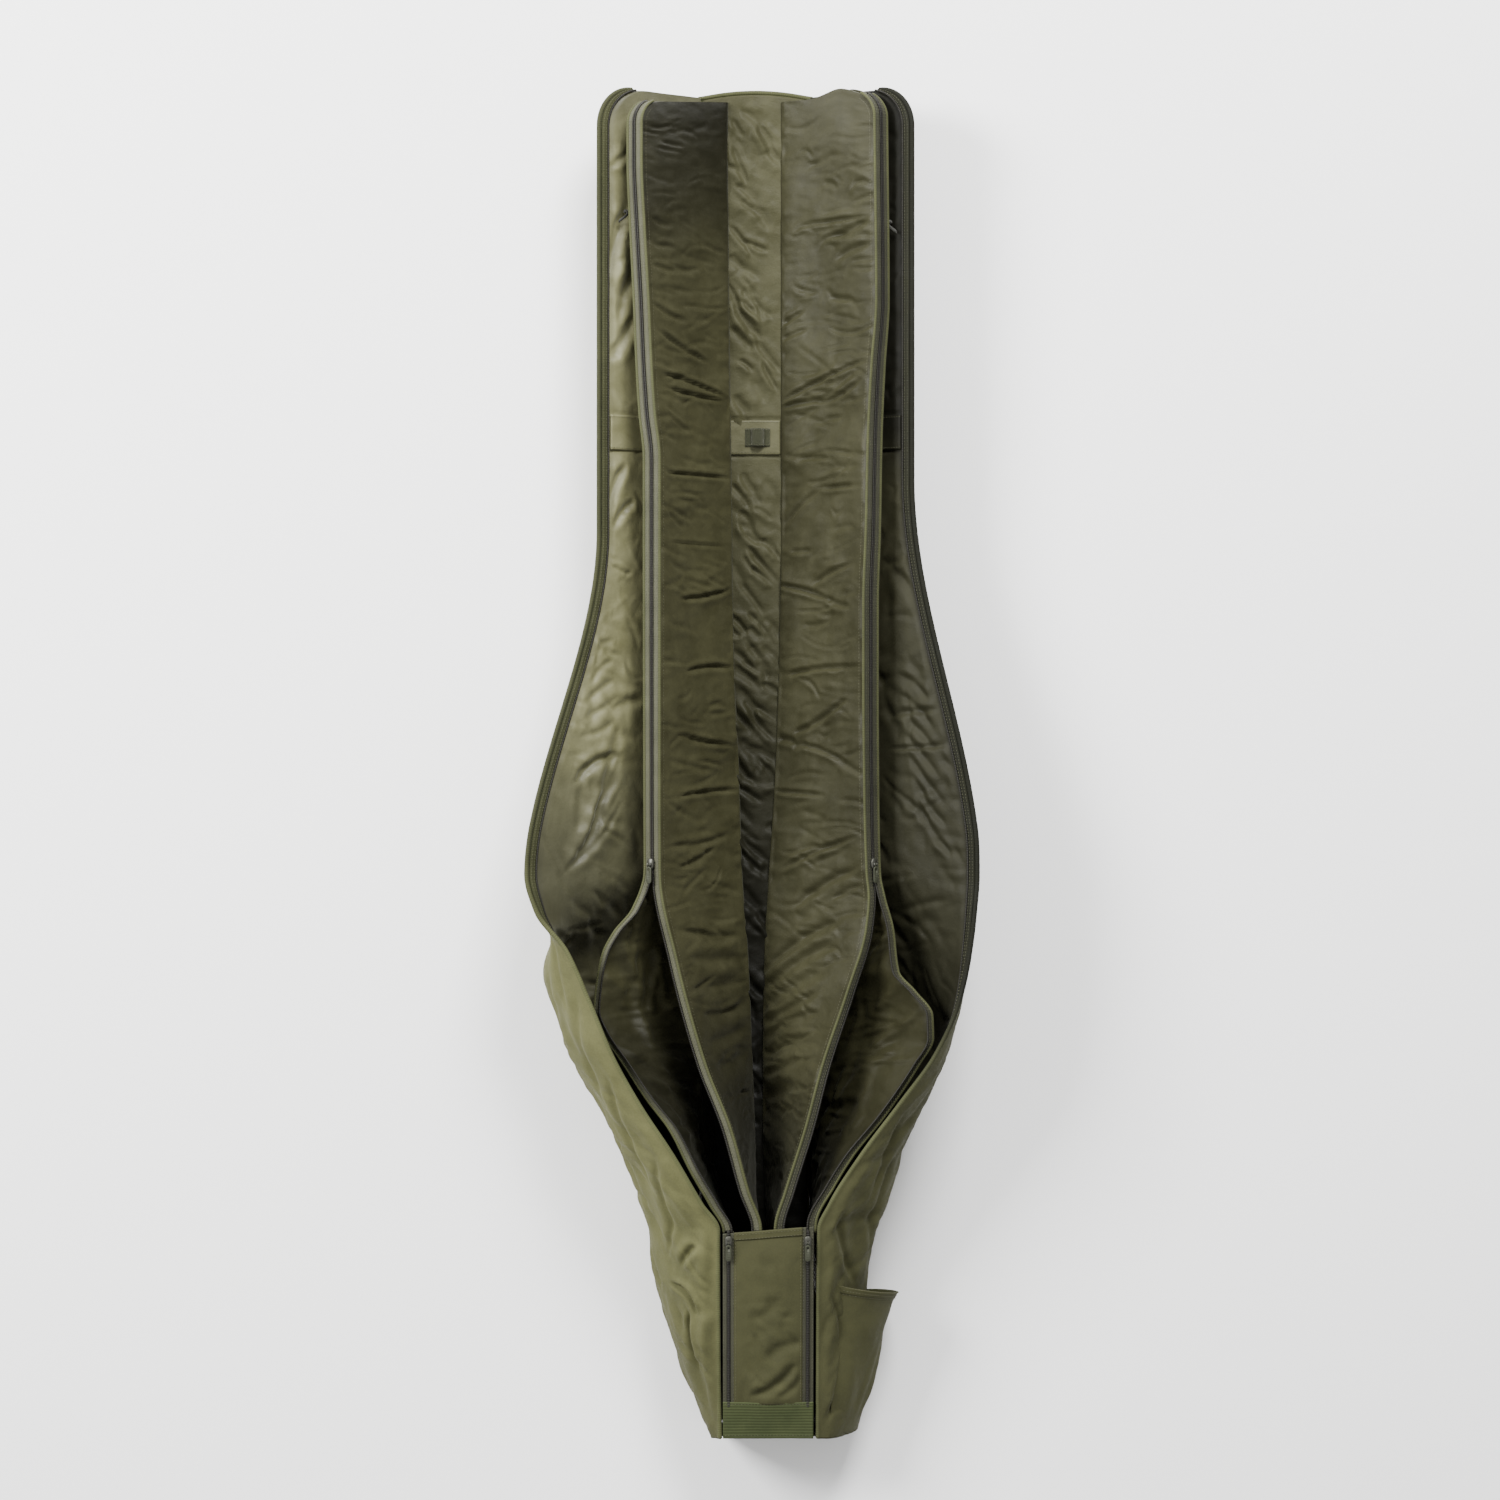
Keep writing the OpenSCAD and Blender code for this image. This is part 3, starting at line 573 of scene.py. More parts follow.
def wall_grid(k, ys, ns):
    """Outer face of side k as rows of ns even points, with the length from the seam."""
    s, x0 = SIDE[k], WALL_X[k]

    def plane(y):
        """The free edge of the flat upper part of the wall, as (x, z)."""
        d = wall_depth(k, y)
        return x0 + s * d * math.cos(WALL_LEAN), 8.5 + d * math.sin(WALL_LEAN)

    rows = list(BUTT_SIDE[k])
    for y in (-100, -40):
        x, z = plane(y)
        rows.append((y, x0, x, x, z, 0))
    b, sx, rx, rz, puff = track(rows)(np.minimum(ys, -40))
    px, pz = plane(ys)
    w = step(ys, -150, -70)
    rx, rz, sx = mix(rx, px, w), mix(rz, pz, w), mix(sx, px, w)
    B = np.stack([b, mix(8.5, 3.0, puff)], 1)
    R = np.stack([rx, rz], 1)
    bulge = (8 * sx - b - rx) / 6
    p = puff[:, None]
    C1 = mix(B + (R - B) / 3, np.stack([bulge, 0.06 * rz], 1), p)
    C2 = mix(B + (R - B) * 2 / 3, np.stack([bulge, 0.75 * rz], 1), p)
    t = np.linspace(0, 1, 121)[None, :, None]
    q = 1 - t
    curve = q**3 * B[:, None] + 3 * q * q * t * C1[:, None] + 3 * q * t * t * C2[:, None] + t**3 * R[:, None]
    P = np.zeros((len(ys), ns, 3))
    P[:, :, 1] = ys[:, None]
    S = np.zeros((len(ys), ns))
    for i, c in enumerate(curve):
        ll = lengths(c)
        S[i] = np.linspace(0, ll[-1], ns)
        P[i, :, ::2] = sample(S[i], ll, c)
    return P, S


def along(P, S, d0, d1, n):
    """The same rows again, from d0 beyond the seam to d1 short of the free edge."""
    out, so = np.zeros((len(P), n, P.shape[2])), np.zeros((len(P), n))
    for i in range(len(P)):
        so[i] = np.linspace(d0, max(S[i, -1] - d1, d0 + 1), n)
        out[i] = sample(so[i], S[i], P[i])
    return out, so


WY = stations(TIP, 58)
wall = []
for k in (0, 1):
    P, S = wall_grid(k, WY, 110)
    wall.append((P, S, normals(P, -SIDE[k])))


def folds_outside(k, S, Y):
    """Slack folds of the slumped canvas, outwards positive. S is measured from the seam."""
    out = np.zeros_like(S)
    low = 1 - step(Y, -420, -250)
    out += (2.5 + 5.0 * noise(S / 90, Y / 150, 11 + k, 3)) * low * step(S, 0, 40)
    out += 2.0 * noise(S / 24, Y / 44, 21 + k, 3) * (0.25 + low)
    ys = Y[:, 0]
    if k == 0:
        creases(out, S, ys, (
            (250, -700, 175, -880, 5.0, 11, 14), (235, -800, 190, -860, 6.0, 9, -10),
            (268, -600, 205, -790, 3.2, 12, 16), (215, -560, 140, -700, 3.0, 16, -12),
            (150, -780, 120, -940, 3.2, 10, 8), (170, -885, 160, -960, 5.0, 7, 4),
            (300, -350, 190, -520, 2.2, 18, 20)))
        R = S[:, -1:] - S
        creases(out, R, ys, (
            (34, -688, 58, -718, 4.0, 5.0, 3), (76, -746, 30, -786, 5.5, 3.4, -9),
            (46, -788, 34, -866, 6.0, 4.0, 4), (18, -330, 62, -480, 2.4, 6.0, 7),
            (26, -452, 74, -600, 2.6, 5.0, 6), (30, -566, 84, -700, 2.8, 5.0, 8),
            (92, -480, 120, -650, 2.2, 6.0, 6), (14, -236, 44, -340, 2.4, 5.0, 4),
            (60, -300, 110, -420, 2.0, 6.0, 8)))
    else:
        creases(out, S, ys, (
            (270, -600, 180, -760, 3.0, 15, -16), (262, -690, 200, -820, 3.5, 11, 12),
            (240, -820, 180, -930, 3.0, 10, -8), (285, -480, 190, -640, 2.2, 18, 14)))
        R = S[:, -1:] - S
        creases(out, R, ys, (
            (20, -500, 60, -620, 2.6, 5.0, 6), (24, -640, 60, -740, 3.0, 5.0, -5),
            (18, -760, 44, -860, 2.6, 4.0, 4), (40, -840, 16, -940, 2.6, 4.0, 4),
            (66, -560, 90, -690, 2.4, 6.0, 5)))
    scatter(out, S, ys, 46, 31 + k, (60, 270), -955, -300, long=(30, 110), deep=(0.5, 2.4), wide=(3.5, 9),
            tilt=0.5, turned=-1.1)
    scatter(out, S, ys, 40, 41 + k, (20, 180), -250, 930, long=(25, 80), deep=(0.2, 0.8), wide=(4, 9),
            tilt=0.8)
    return 1.5 * out * step(S, 0, 14) * step(S[:, -1:] - S, 0, 20)


def folds_lining(k, S, Y):
    """Slack folds of the satin lining in a side compartment, inwards positive."""
    out = np.zeros_like(S)
    ys = Y[:, 0]
    free = 1 - step(Y, 440, 455) * (1 - step(Y, 495, 510))
    out += 2.6 * noise(S / 60, Y / 110, 51 + k, 3) * free
    out += 0.5 * noise(S / 13, Y / 24, 61 + k, 2) * free
    D = wall_depth(k, np.clip(Y, -156, 900))
    for y in (451, 505):
        out -= 1.8 * np.exp(-(((Y - y) / 2.2) ** 2))
    if k == 0:
        creases(out, S, ys, (
            (225, -24, 150, 12, 6.0, 6, -10), (190, -60, 150, 0, 2.0, 5, 8),
            (160, 285, 125, 275, 2.6, 3, 2), (185, 180, 150, 155, 2.6, 4, 5)))
        for i in range(6):
            crease(out, S, ys, 240 - 10 * i, -150 + 10 * i, 150, -60 + 22 * i, 3.0, 5 + i % 3, 9 - 3 * i)
        for i in range(5):
            crease(out, S, ys, 215 - 6 * i, 40 + 26 * i, 160, 60 + 30 * i, 2.2, 5, 4 - 3 * i)
        creases(out, S, ys, (
            (140, 800, 172, 690, 7.0, 9.0, 4), (128, 640, 172, 580, 5.0, 8.0, -4),
            (140, 430, 172, 360, 5.0, 6.0, 4), (124, 380, 160, 340, 3.0, 5.0, 3),
            (118, 900, 166, 860, 3.5, 5.0, -3), (120, 720, 150, 640, 4.0, 7.0, 5)))
    else:
        creases(out, S, ys, (
            (150, 280, 195, 230, 4.0, 8, 5), (150, 70, 230, 78, 2.6, 4, 2), (150, 22, 240, 26, 3.0, 3, 0),
            (170, -50, 215, -85, 3.4, 5, 4)))
        for i in range(7):
            crease(out, S, ys, 160 + 6 * i, 130 - 30 * i, 215 + 6 * i, 90 - 36 * i, 2.6, 5, 6 - 2 * i)
    scatter(out, S, ys, 110, 71 + k, (90, 260), -420, 200, long=(25, 90), deep=(0.5, 2.6), wide=(3, 8),
            tilt=0.7, turned=-0.5 * SIDE[k])
    scatter(out, S, ys, 60, 81 + k, (60, 150), 200, 940, long=(14, 50), deep=(0.4, 1.8), wide=(3, 7),
            tilt=0.9, turned=-0.6 * SIDE[k])
    out *= step(S, 0, 12) * (0.25 + 0.75 * step(D - S, 8, 34))
    return out


def seam_row(P, S, N, d, off, row0=0, row1=None):
    """A line along the wall, d short of its free edge and off above the outer face."""
    out, nrm = (np.array([sample(r[-1] - d, r, g) for r, g in zip(S, G)]) for G in (P, N))
    return (out + off * nrm)[row0:row1], nrm[row0:row1]


def dashes(path, up, pitch=STITCH_PITCH):
    """A row of stitches along a path."""
    return repeat(path, up, pitch, *STITCH)


for k in (0, 1):
    name, s, body = NAMES[k], SIDE[k], f"{NAMES[k]}_wall"
    P, S, N = wall[k]
    Y = np.broadcast_to(WY[:, None], S.shape)
    out = -folds_outside(k, S, Y)
    skin = P + N * out[..., None]
    ob = bending(body, f"{name}_side_canvas", shell(skin, skin + 1.1 * N), SIDES[k], "outer_canvas",
                 f"{name}_wall_outer", f"{name}_butt_side")

    # padded lining, from the seam to the zip tape
    Q, T = along(P, S, 1.5, 15, 104)
    M = normals(Q, -s)
    YQ = np.broadcast_to(WY[:, None], T.shape)
    o2, _ = along(out[..., None], S, 1.5, 15, 104)
    base = Q + M * (o2 + 1.4)
    high = 4.8 + np.maximum(folds_lining(k, T, YQ), -3.6)
    high *= 0.35 + 0.65 * smooth((T[:, -1:] - T) / 14)
    top = base + M * high[..., None]
    ob = bending(body, f"{name}_side_lining", shell(top, base), LININGS[k], "satin_lining")
    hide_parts(f"{name}_wall_foam", f"{name}_wall_lining", f"{name}_butt_padding")

    # rim: piping, tape and half of the open zip
    path, up = seam_row(P, S, N, 1.0, 3.2)
    path = np.concatenate([path[:-1], [path[-1] + (0, 1.5, 0)]])
    seam, _ = seam_row(P, S, N, 4.2, 3.0)
    parts = [tube(path, 3.4, 12, 1.0, up), tube(seam, 1.5, 8, 0.8, up)]
    bending(body, f"{name}_rim_piping", joined(parts), PIPES[k], "binding_tape", f"{name}_wall_piping",
            "butt_piping")
    stop = int(np.searchsorted(-WY, 640))
    cols = []
    for d, off in ((4.6, 4.0), (6.0, 5.4), (9.5, 5.6), (13.5, 5.3), (17.5, 5.2)):
        line, _ = seam_row(P, S, N, d, off, 2, stop)
        cols.append(line)
    G = np.stack(cols, 1)
    wave = 0.9 * noise(np.arange(G.shape[0])[:, None] / 12, np.arange(5)[None] / 2, 91 + k, 2)
    up = seam_row(P, S, N, 10, 0, 2, stop)[1][:, None]
    G = G + wave[..., None] * up
    bending(body, f"{name}_rim_tape", shell(G + 0.9 * up, G), RIMS[k], "zip_tape")
    line, up = seam_row(P, S, N, 15.6, 6.4, 2, stop)
    coil = repeat(line, up, ZIP_PITCH, *HALF_TOOTH)
    core = tube(line + 0.2 * up, 1.0, 6, 1.0, up)
    bending(body, f"{name}_rim_coil", joined([coil, core]), COIL, "zip_tape", f"{name}_wall_zip",
            "butt_zip_halves")
    rows = [seam_row(P, S, N, d, off, 2, stop) for d, off in ((7.4, 6.7), (12.4, 6.5))]
    bending(body, f"{name}_rim_stitches", joined([dashes(a, b) for a, b in rows]), THREAD, "binding_tape")


# ---- the spine and the floor of the trough -------------------------------------------

def bowed(x, y):
    """The tip end bows out a little between the walls."""
    return y + 11 * np.clip(1 - ((x - 7) / 88) ** 2, 0, 1) * step(y, 860, 975)


spine_edges = track([(975, -72, 86), (-700, -72, 86), (-770, -71, 94), (-964, -48, 136), (-970, -48, 136)])


SY = np.linspace(TIP - 4.5, BUTT + 8, 640)
a, b = spine_edges(SY)
f = np.linspace(0, 1, 60)[None]
X = a[:, None] + (b - a)[:, None] * f
YS = bowed(X, np.broadcast_to(SY[:, None], X.shape))
low = 0.4 + 0.5 * (noise(X / 60, YS / 90, 3, 2) + 0.5)
ob = rigid("bag_base", "spine_base", shell(np.stack([X, YS, low + 1.2], -1), np.stack([X, YS, low], -1)),
           CANVAS, "outer_canvas", "spine_outer")
g0, g1 = np.stack([X, YS, low + 1.4], -1), np.stack([X, YS, low + 5.2], -1)
ob = rigid("bag_base", "spine_padding", shell(g1[:, 1:-1], g0[:, 1:-1]), FLOOR, "foam", "spine_foam")

TY = np.linspace(TIP - 6, BUTT + 12, 800)
a, b = spine_edges(TY)
a, b = a - 3 * step(TY, 925, 945), b + 3 * step(TY, 925, 945)
X = (a + 3)[:, None] + (b - a - 6)[:, None] * np.linspace(0, 1, 72)[None]
YT = np.broadcast_to(TY[:, None], X.shape)
quiet = 1 - step(YT, 448, 456) * (1 - step(YT, 500, 508))  # the patch for the middle rod's strap
z = 2.6 * noise(X / 26 + YT / 60, YT / 34, 7, 3) * quiet
rng = np.random.default_rng(5)
for _ in range(150):
    y = rng.uniform(-500, 955)
    if 440 < y < 516:
        continue
    left = rng.random() < 0.55
    x = rng.uniform(-34, -8) if left else rng.uniform(-4, 24)
    dx, dy = rng.uniform(16, 38), -rng.uniform(14, 46)
    crease(z, X, TY, x, y, x + dx, y + dy, rng.uniform(2.0, 5.5), rng.uniform(3.2, 7.5), rng.normal(0, 2))
for y in (450, 506):
    z -= 1.6 * np.exp(-(((YT - y) / 2.0) ** 2))
z = np.clip(z, -2.4, 9.0) * (0.25 + 0.75 * step(np.minimum(X + 73, 87 - X), 4, 18))
YB = bowed(X, YT)
top, low = np.stack([X, YB, 8.6 + z], -1), np.stack([X, YB, np.full_like(X, 5.6)], -1)
ob = rigid("bag_base", "spine_lining_satin", shell(top, low), LINING, "satin_lining")
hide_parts("spine_lining")
x = np.linspace(-76, 90, 60)
line = np.stack([x, bowed(x, np.full(60, TIP - 2.2)), 4.6 + 5 * np.abs((x - 7) / 83) ** 12], 1)
ob = rigid("bag_base", "tip_edge_piping", joined([tube(line, 3.3, 12), tube(line + (0, -4.4, 0.6), 1.6, 8)]),
           TRIM, "binding_tape", "tip_piping")


# ---- the four dividers of the rod sleeves --------------------------------------------

D2 = track([
    (969, -34, -157.6, 146), (870, -34, -157.6, 146), (769, -33, -153.2, 150), (669, -32, -147.6, 154),
    (570, -31, -143.1, 157), (503, -30, -138.6, 160), (437, -29, -131.6, 163.8), (150, -25, -131.6, 163.8),
    (6, -18, -131.6, 163.8), (-156, -13, -131, 163), (-281, -4, -107, 168), (-430, 2, -66, 172),
    (-520, 5, -31, 175), (-610, 7, -6, 175), (-660, 8, 11, 170), (-800, 9, 16, 146), (-960, 10, 17, 118)])
D3 = track([
    (969, 45, 178, 134), (870, 45, 179, 134), (669, 45, 181, 132), (570, 45, 174, 138), (470, 45, 169, 142),
    (337, 45, 166, 147), (230, 43, 162.5, 150), (120, 41, 162.5, 150), (-52, 34, 164, 149),
    (-156, 27, 167, 148), (-190, 25, 170, 150), (-235, 22, 166, 155), (-326, 19, 139, 162),
    (-430, 18, 104, 170), (-520, 18, 80, 175), (-610, 21, 52, 175), (-660, 24, 38, 170),
    (-800, 32, 34, 146), (-960, 36, 34, 118)])
D1 = track([
    (969, -60, -149, 153), (-156, -60, -149, 153), (-209, -60, -166, 150), (-241, -61, -192, 150),
    (-271, -62, -208, 148), (-307, -62, -216, 146), (-353, -62, -220, 150), (-384, -62, -208, 158),
    (-425, -60, -180, 172), (-476, -58, -146, 180), (-520, -56, -112, 184), (-580, -54, -82, 182),
    (-629, -50, -54, 176), (-665, -44, -36, 170), (-800, -42, -36, 146), (-960, -34, -34, 118)])
D4 = track([
    (969, 76, 182, 134), (-156, 78, 182, 134), (-190, 78, 188, 140), (-235, 79, 200, 146),
    (-298, 80, 208, 156), (-326, 80, 232, 168), (-358, 80, 255, 182), (-390, 80, 256, 186),
    (-427, 80, 236, 190), (-499, 82, 188, 190), (-557, 84, 142, 188), (-600, 86, 116, 182),
    (-655, 88, 90, 172), (-800, 88, 86, 146), (-960, 96, 86, 118)])
SLEEVE_TIP = TIP - 6
DY = stations(SLEEVE_TIP, 32)
DY = DY[DY > -958]


def turned(b, t, flip):
    """Unit directions up a panel and across it, from its two ends."""
    u = unit(t - b)
    return u, flip * np.stack([u[:, 1], -u[:, 0]], 1)


def divider_ends(i, y):
    """Where divider i meets the floor and where its free edge is, as (x, z) for each y."""
    bx, tx, tz = (D1, D2, D3, D4)[i](y)
    b, t = np.stack([bx, np.full_like(bx, 9.6)], 1), np.stack([tx, tz], 1)
    if i in (0, 3):
        mx, nx, nz = (D2, D3)[0 if i == 0 else 1](y)
        mb, mt = np.stack([mx, np.full_like(mx, 9.6)], 1), np.stack([nx, nz], 1)
        _, n = turned(mb, mt, -1 if i == 0 else 1)
        t = mix(t, mt + 21.2 * n, step(y, -176, -142)[:, None])
    return b, t


# sign of each divider's direction across, and how far the panel bows that way in mm
ACROSS = (1, -1, 1, -1)
BOW = (4, 5, 5, 4)


def divider_grid(i, y, ns):
    """Middle surface of divider i, with the lengths from its seam and its up and across directions."""
    b, t = divider_ends(i, y)
    u, n = turned(b, t, ACROSS[i])
    ll = np.linalg.norm(t - b, axis=1)
    cut = corner_cut(y, SLEEVE_TIP, 32)
    f = np.linspace(0, 1, ns)[None] * (1 - cut / ll)[:, None]
    bow = BOW[i] * np.sin(np.pi * f) * (0.6 + 0.8 * noise(y / 160, y * 0, 17 + i, 2))[:, None]
    q = b[:, None] + (t - b)[:, None] * f[..., None] + n[:, None] * bow[..., None]
    end = step(y, 820, 969)[:, None]
    shift = -20 * f * end if i < 2 else (13 * np.exp(-(((f - 0.62) / 0.2) ** 2)) - 8 * f) * end
    P = np.stack([q[..., 0], y[:, None] + shift, q[..., 1]], -1)
    return P, f * ll[:, None], np.stack([u[:, 0], 0 * y, u[:, 1]], 1), np.stack([n[:, 0], 0 * y, n[:, 1]], 1)


def folds_divider(i, S, ys):
    """Creases of the face that shows from above, positive out of the sleeve."""
    out = np.zeros_like(S)
    Y = np.broadcast_to(ys[:, None], S.shape)
    out += 3.2 * noise(S / 80, Y / 50, 111 + i, 2) + 0.7 * noise(S / 24, Y / 10, 121 + i, 2)
    out += pucker(S, Y, 131 + i, 12, 22, 1.3) + pucker(S[:, -1:] - S, Y, 141 + i, 10, 12, 0.9)
    if i == 1:
        creases(out, S, ys, (
            (160, 620, 57, 585, 3.0, 3.2, 3), (152, 560, 14, 535, 3.6, 2.8, -3),
            (152, 541, 14, 530, 3.0, 2.6, 2), (165, 782, 125, 776, 2.0, 3.5, 2),
            (168, 747, 118, 745, 2.2, 3.2, 0), (168, 715, 120, 712, 1.8, 3.2, 1),
            (172, 680, 120, 676, 1.6, 3.2, -1), (172, 659, 102, 640, 2.2, 3.6, 4),
            (154, 502, 95, 480, 2.0, 3.6, 3), (160, 418, 10, 418, 3.0, 2.3, 0),
            (154, 318, 16, 317, 1.8, 2.2, 0), (130, 238, 12, 254, 3.6, 3.0, 3),
            (118, 134, 4, 140, 3.4, 3.0, -4), (142, 42, 16, 26, 2.6, 2.8, 2),
            (136, -46, 0, -38, 3.0, 2.8, -2), (160, -118, 30, -104, 2.4, 4.0, 5),
            (150, -148, 60, -122, 2.2, 4.0, 4), (140, 905, 95, 900, 1.6, 3.0, 1),
            (150, 895, 100, 890, 1.3, 2.6, 0)))
    if i == 2:
        creases(out, S, ys, (
            (6, 532, 158, 578, 3.8, 3.0, 3), (8, 522, 92, 526, 3.2, 3.0, 3),
            (90, 526, 160, 552, 3.0, 3.2, -4), (36, 785, 176, 788, 1.6, 2.6, 0),
            (100, 765, 170, 783, 2.0, 5.0, -3), (108, 732, 170, 748, 2.2, 4.5, 2),
            (2, 644, 42, 660, 2.4, 3.0, 0), (2, 622, 48, 634, 1.8, 3.0, 0),
            (84, 400, 154, 400, 2.2, 2.6, 0), (10, 352, 84, 398, 1.8, 4.0, 4),
            (22, 310, 68, 310, 1.8, 3.0, 0), (74, 262, 150, 287, 2.6, 3.4, 3),
            (2, 262, 102, 239, 3.6, 3.0, 2), (100, 240, 154, 226, 2.2, 3.4, -2),
            (22, 131, 162, 140, 2.8, 2.8, 3), (44, 46, 144, 92, 3.0, 3.8, -4), (4, 36, 44, 30, 2.6, 4.0, 2),
            (54, 29, 150, 4, 2.8, 2.8, 2), (4, -40, 104, -45, 2.8, 2.8, 0),
            (30, -152, 170, -106, 2.4, 3.2, 3), (60, -205, 176, -150, 3.0, 6.0, 6)))
        for a in range(8):
            crease(out, S, ys, 10, -300 - 26 * a, 150 - 6 * a, -225 - 34 * a, 4.0 - 0.3 * a, 7 + 2 * (a % 3),
                   8 - 3 * (a % 4))
    if i == 1:
        for a in range(6):
            crease(out, S, ys, 150 - 4 * a, -240 - 40 * a, 20, -250 - 34 * a, 2.4, 6 + 2 * (a % 3),
                   6 - 3 * (a % 3))
    scatter(out, S, ys, 190, 151 + i, (8, 150), -600, 950, long=(25, 100), deep=(0.3, 1.8), wide=(1.8, 4),
            tilt=0.2)
    if i in (0, 3):
        scatter(out, S, ys, 60, 161 + i, (30, 160), -640, -150, long=(30, 110), deep=(1.0, 4.0), wide=(5, 10),
                tilt=0.6, turned=0.9)
    return out * step(S, 0, 6)


for i in range(4):
    k = i // 2
    P, S, U, N = divider_grid(i, DY, 74)
    Nn = N[:, None]
    body = f"{NAMES[k]}_sleeve"
    out = folds_divider(i, S, DY)
    edge = np.minimum(S, S[:, -1:] - S)
    half = 0.9 + 2.0 * (1 - np.exp(-edge / 7))
    out = out * np.minimum(1, edge / 8)
    face = P - Nn * (half + 1.5 * out)[..., None]
    back = P + Nn * (half - 1.2 * out)[..., None]
    name = ("left_outer", "left_inner", "right_inner", "right_outer")[i]
    ob = bending(body, f"{name}_divider_panel", shell(face, back), DIVIDERS[i], "padded_nylon",
                 f"{name}_divider", f"{NAMES[k]}_sleeve_{'outer' if i in (0, 3) else 'inner'}_panel")

    # half of the zipped band along the panel's free edge, and its binding
    E = P[:, -1]
    keep = slice(3, int(np.searchsorted(-DY, 668)))
    up = np.cross(unit(np.gradient(E, axis=0)), N)
    up *= np.sign((up * U).sum(1, keepdims=True))
    wob = noise(DY / 30, DY * 0, 171 + i, 2)[keep, None]
    E, U2, N2 = E[keep], up[keep], N[keep]
    cols = [E + U2 * h + N2 * w for h, w in ((0.6, -3.6), (1.9, -2.6), (2.1, 1.5), (2.2, 5.0), (2.1, 8.6))]
    G = np.stack(cols, 1)
    G[:, 2:4] += (0.8 * wob * U2)[:, None]
    low = G - 1.0 * U2[:, None]
    ob = bending(body, f"{name}_band", shell(G, low), BANDS[k], "zip_tape")
    if i in (0, 2):
        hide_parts(f"{NAMES[k]}_sleeve_band")
    line = E + U2 * 2.6 + N2 * 8.9
    teeth = repeat(line, U2, ZIP_PITCH, *HALF_TOOTH)
    ob = bending(body, f"{name}_coil", joined([teeth, tube(line + 0.3 * U2, 1.1, 6, 1.0, U2)]), COIL,
                 "zip_tape")
    if i in (1, 3):
        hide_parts(f"{NAMES[k]}_sleeve_zip")
    ob = bending(body, f"{name}_edge_binding", tube(E + U2 * 1.6 - N2 * 2.9, 2.2, 10, 0.85, U2), TRIM,
                 "binding_tape")
    if i == 0:
        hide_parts("left_sleeve_binding", "divider_binding")
    if i == 2:
        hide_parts("right_sleeve_binding")
    rows = [E + U2 * 3.2 + N2 * 1.2, E + U2 * 3.1 + N2 * 5.4, E - U2 * 7.0 - N2 * 3.9]
    geo = joined([dashes(row, up) for row, up in zip(rows, (U2, U2, -N2))])
    bending(body, f"{name}_stitches", geo, THREAD, "padded_nylon")


# ---- butt section --------------------------------------------------------------------

SLOPE = math.atan2(54, 305)


def strip_point(x, y, z):
    """A point of the front strip: y is down its slope from the mouth, and z is above it."""
    x, y, z = np.broadcast_arrays(np.asarray(x, float), np.asarray(y, float), np.asarray(z, float))
    c, s = math.cos(SLOPE), math.sin(SLOPE)
    return np.stack([x, MOUTH + y * c - z * s, 180 + y * s + z * c], -1)


def strip_shape(x, y):
    """The strip's gentle bulge and folds."""
    f = np.sin(np.pi * np.clip((x + 42) / 134, 0, 1))
    return 6 * f * step(-y, 0, 60) * (1 - step(-y, 230, 310)) + 2.5 * noise(x / 60, y / 90, 201, 3) * f


def strip_grid(x0, x1, y0, y1, nx, ny, lift, folds=False):
    """A rectangle of points on the strip, whose ends run a little askew near the mouth."""
    x, y = np.meshgrid(np.linspace(x0, x1, nx), np.linspace(y0, y1, ny))
    y = y + 0.08 * (x - 25) * step(y, -60, 0)
    z = strip_shape(x, y)
    if folds:
        w = np.zeros_like(z)
        ys = y[:, 0]
        creases(w, x, ys, (
            (62, -200, 2, -244, 4.0, 7, 8), (72, -165, 20, -190, 2.6, 9, -6),
            (40, -100, 0, -130, 1.6, 8, 5), (74, -215, 40, -246, 2.4, 6, 4)))
        scatter(w, x, ys, 26, 211, (-18, 66), -250, -15, long=(15, 60), deep=(0.3, 1.2), wide=(4, 9),
                tilt=0.6, turned=-0.6)
        z = z + w * step(np.minimum(x + 25, 75 - x), 0, 10)
    return strip_point(x, y, z + lift)


top, low = strip_grid(-24, 74, 0, -257, 56, 120, 0.2, True), strip_grid(-24, 74, 0, -257, 56, 120, -1.4, True)
ob = rigid("bag_base", "front_strip_canvas", shell(top, low), CANVAS, "outer_canvas", "front_strip")
top, low = strip_grid(-23.5, 73.5, 1.2, -10, 50, 8, 1.2), strip_grid(-23.5, 73.5, 1.2, -10, 50, 8, -2.4)
rigid("bag_base", "front_strip_edge", shell(top, low), CANVAS, "binding_tape", "front_strip_hem")
x = np.linspace(-22, 72, 80)
rows = [strip_point(x, y + 0.078 * (x - 25), strip_shape(x, np.full_like(x, y)) + 1.5) for y in (-1.6, -8.6)]
up = (0, -math.sin(SLOPE), math.cos(SLOPE))
for x0 in (-21.5, 71.5):
    y = np.linspace(-12, -250, 120)
    rows.append(strip_point(x0, y, strip_shape(np.full_like(y, x0), y) + 0.7))
ob = rigid("bag_base", "front_strip_stitches", joined([dashes(r, up) for r in rows]), THREAD, "outer_canvas")
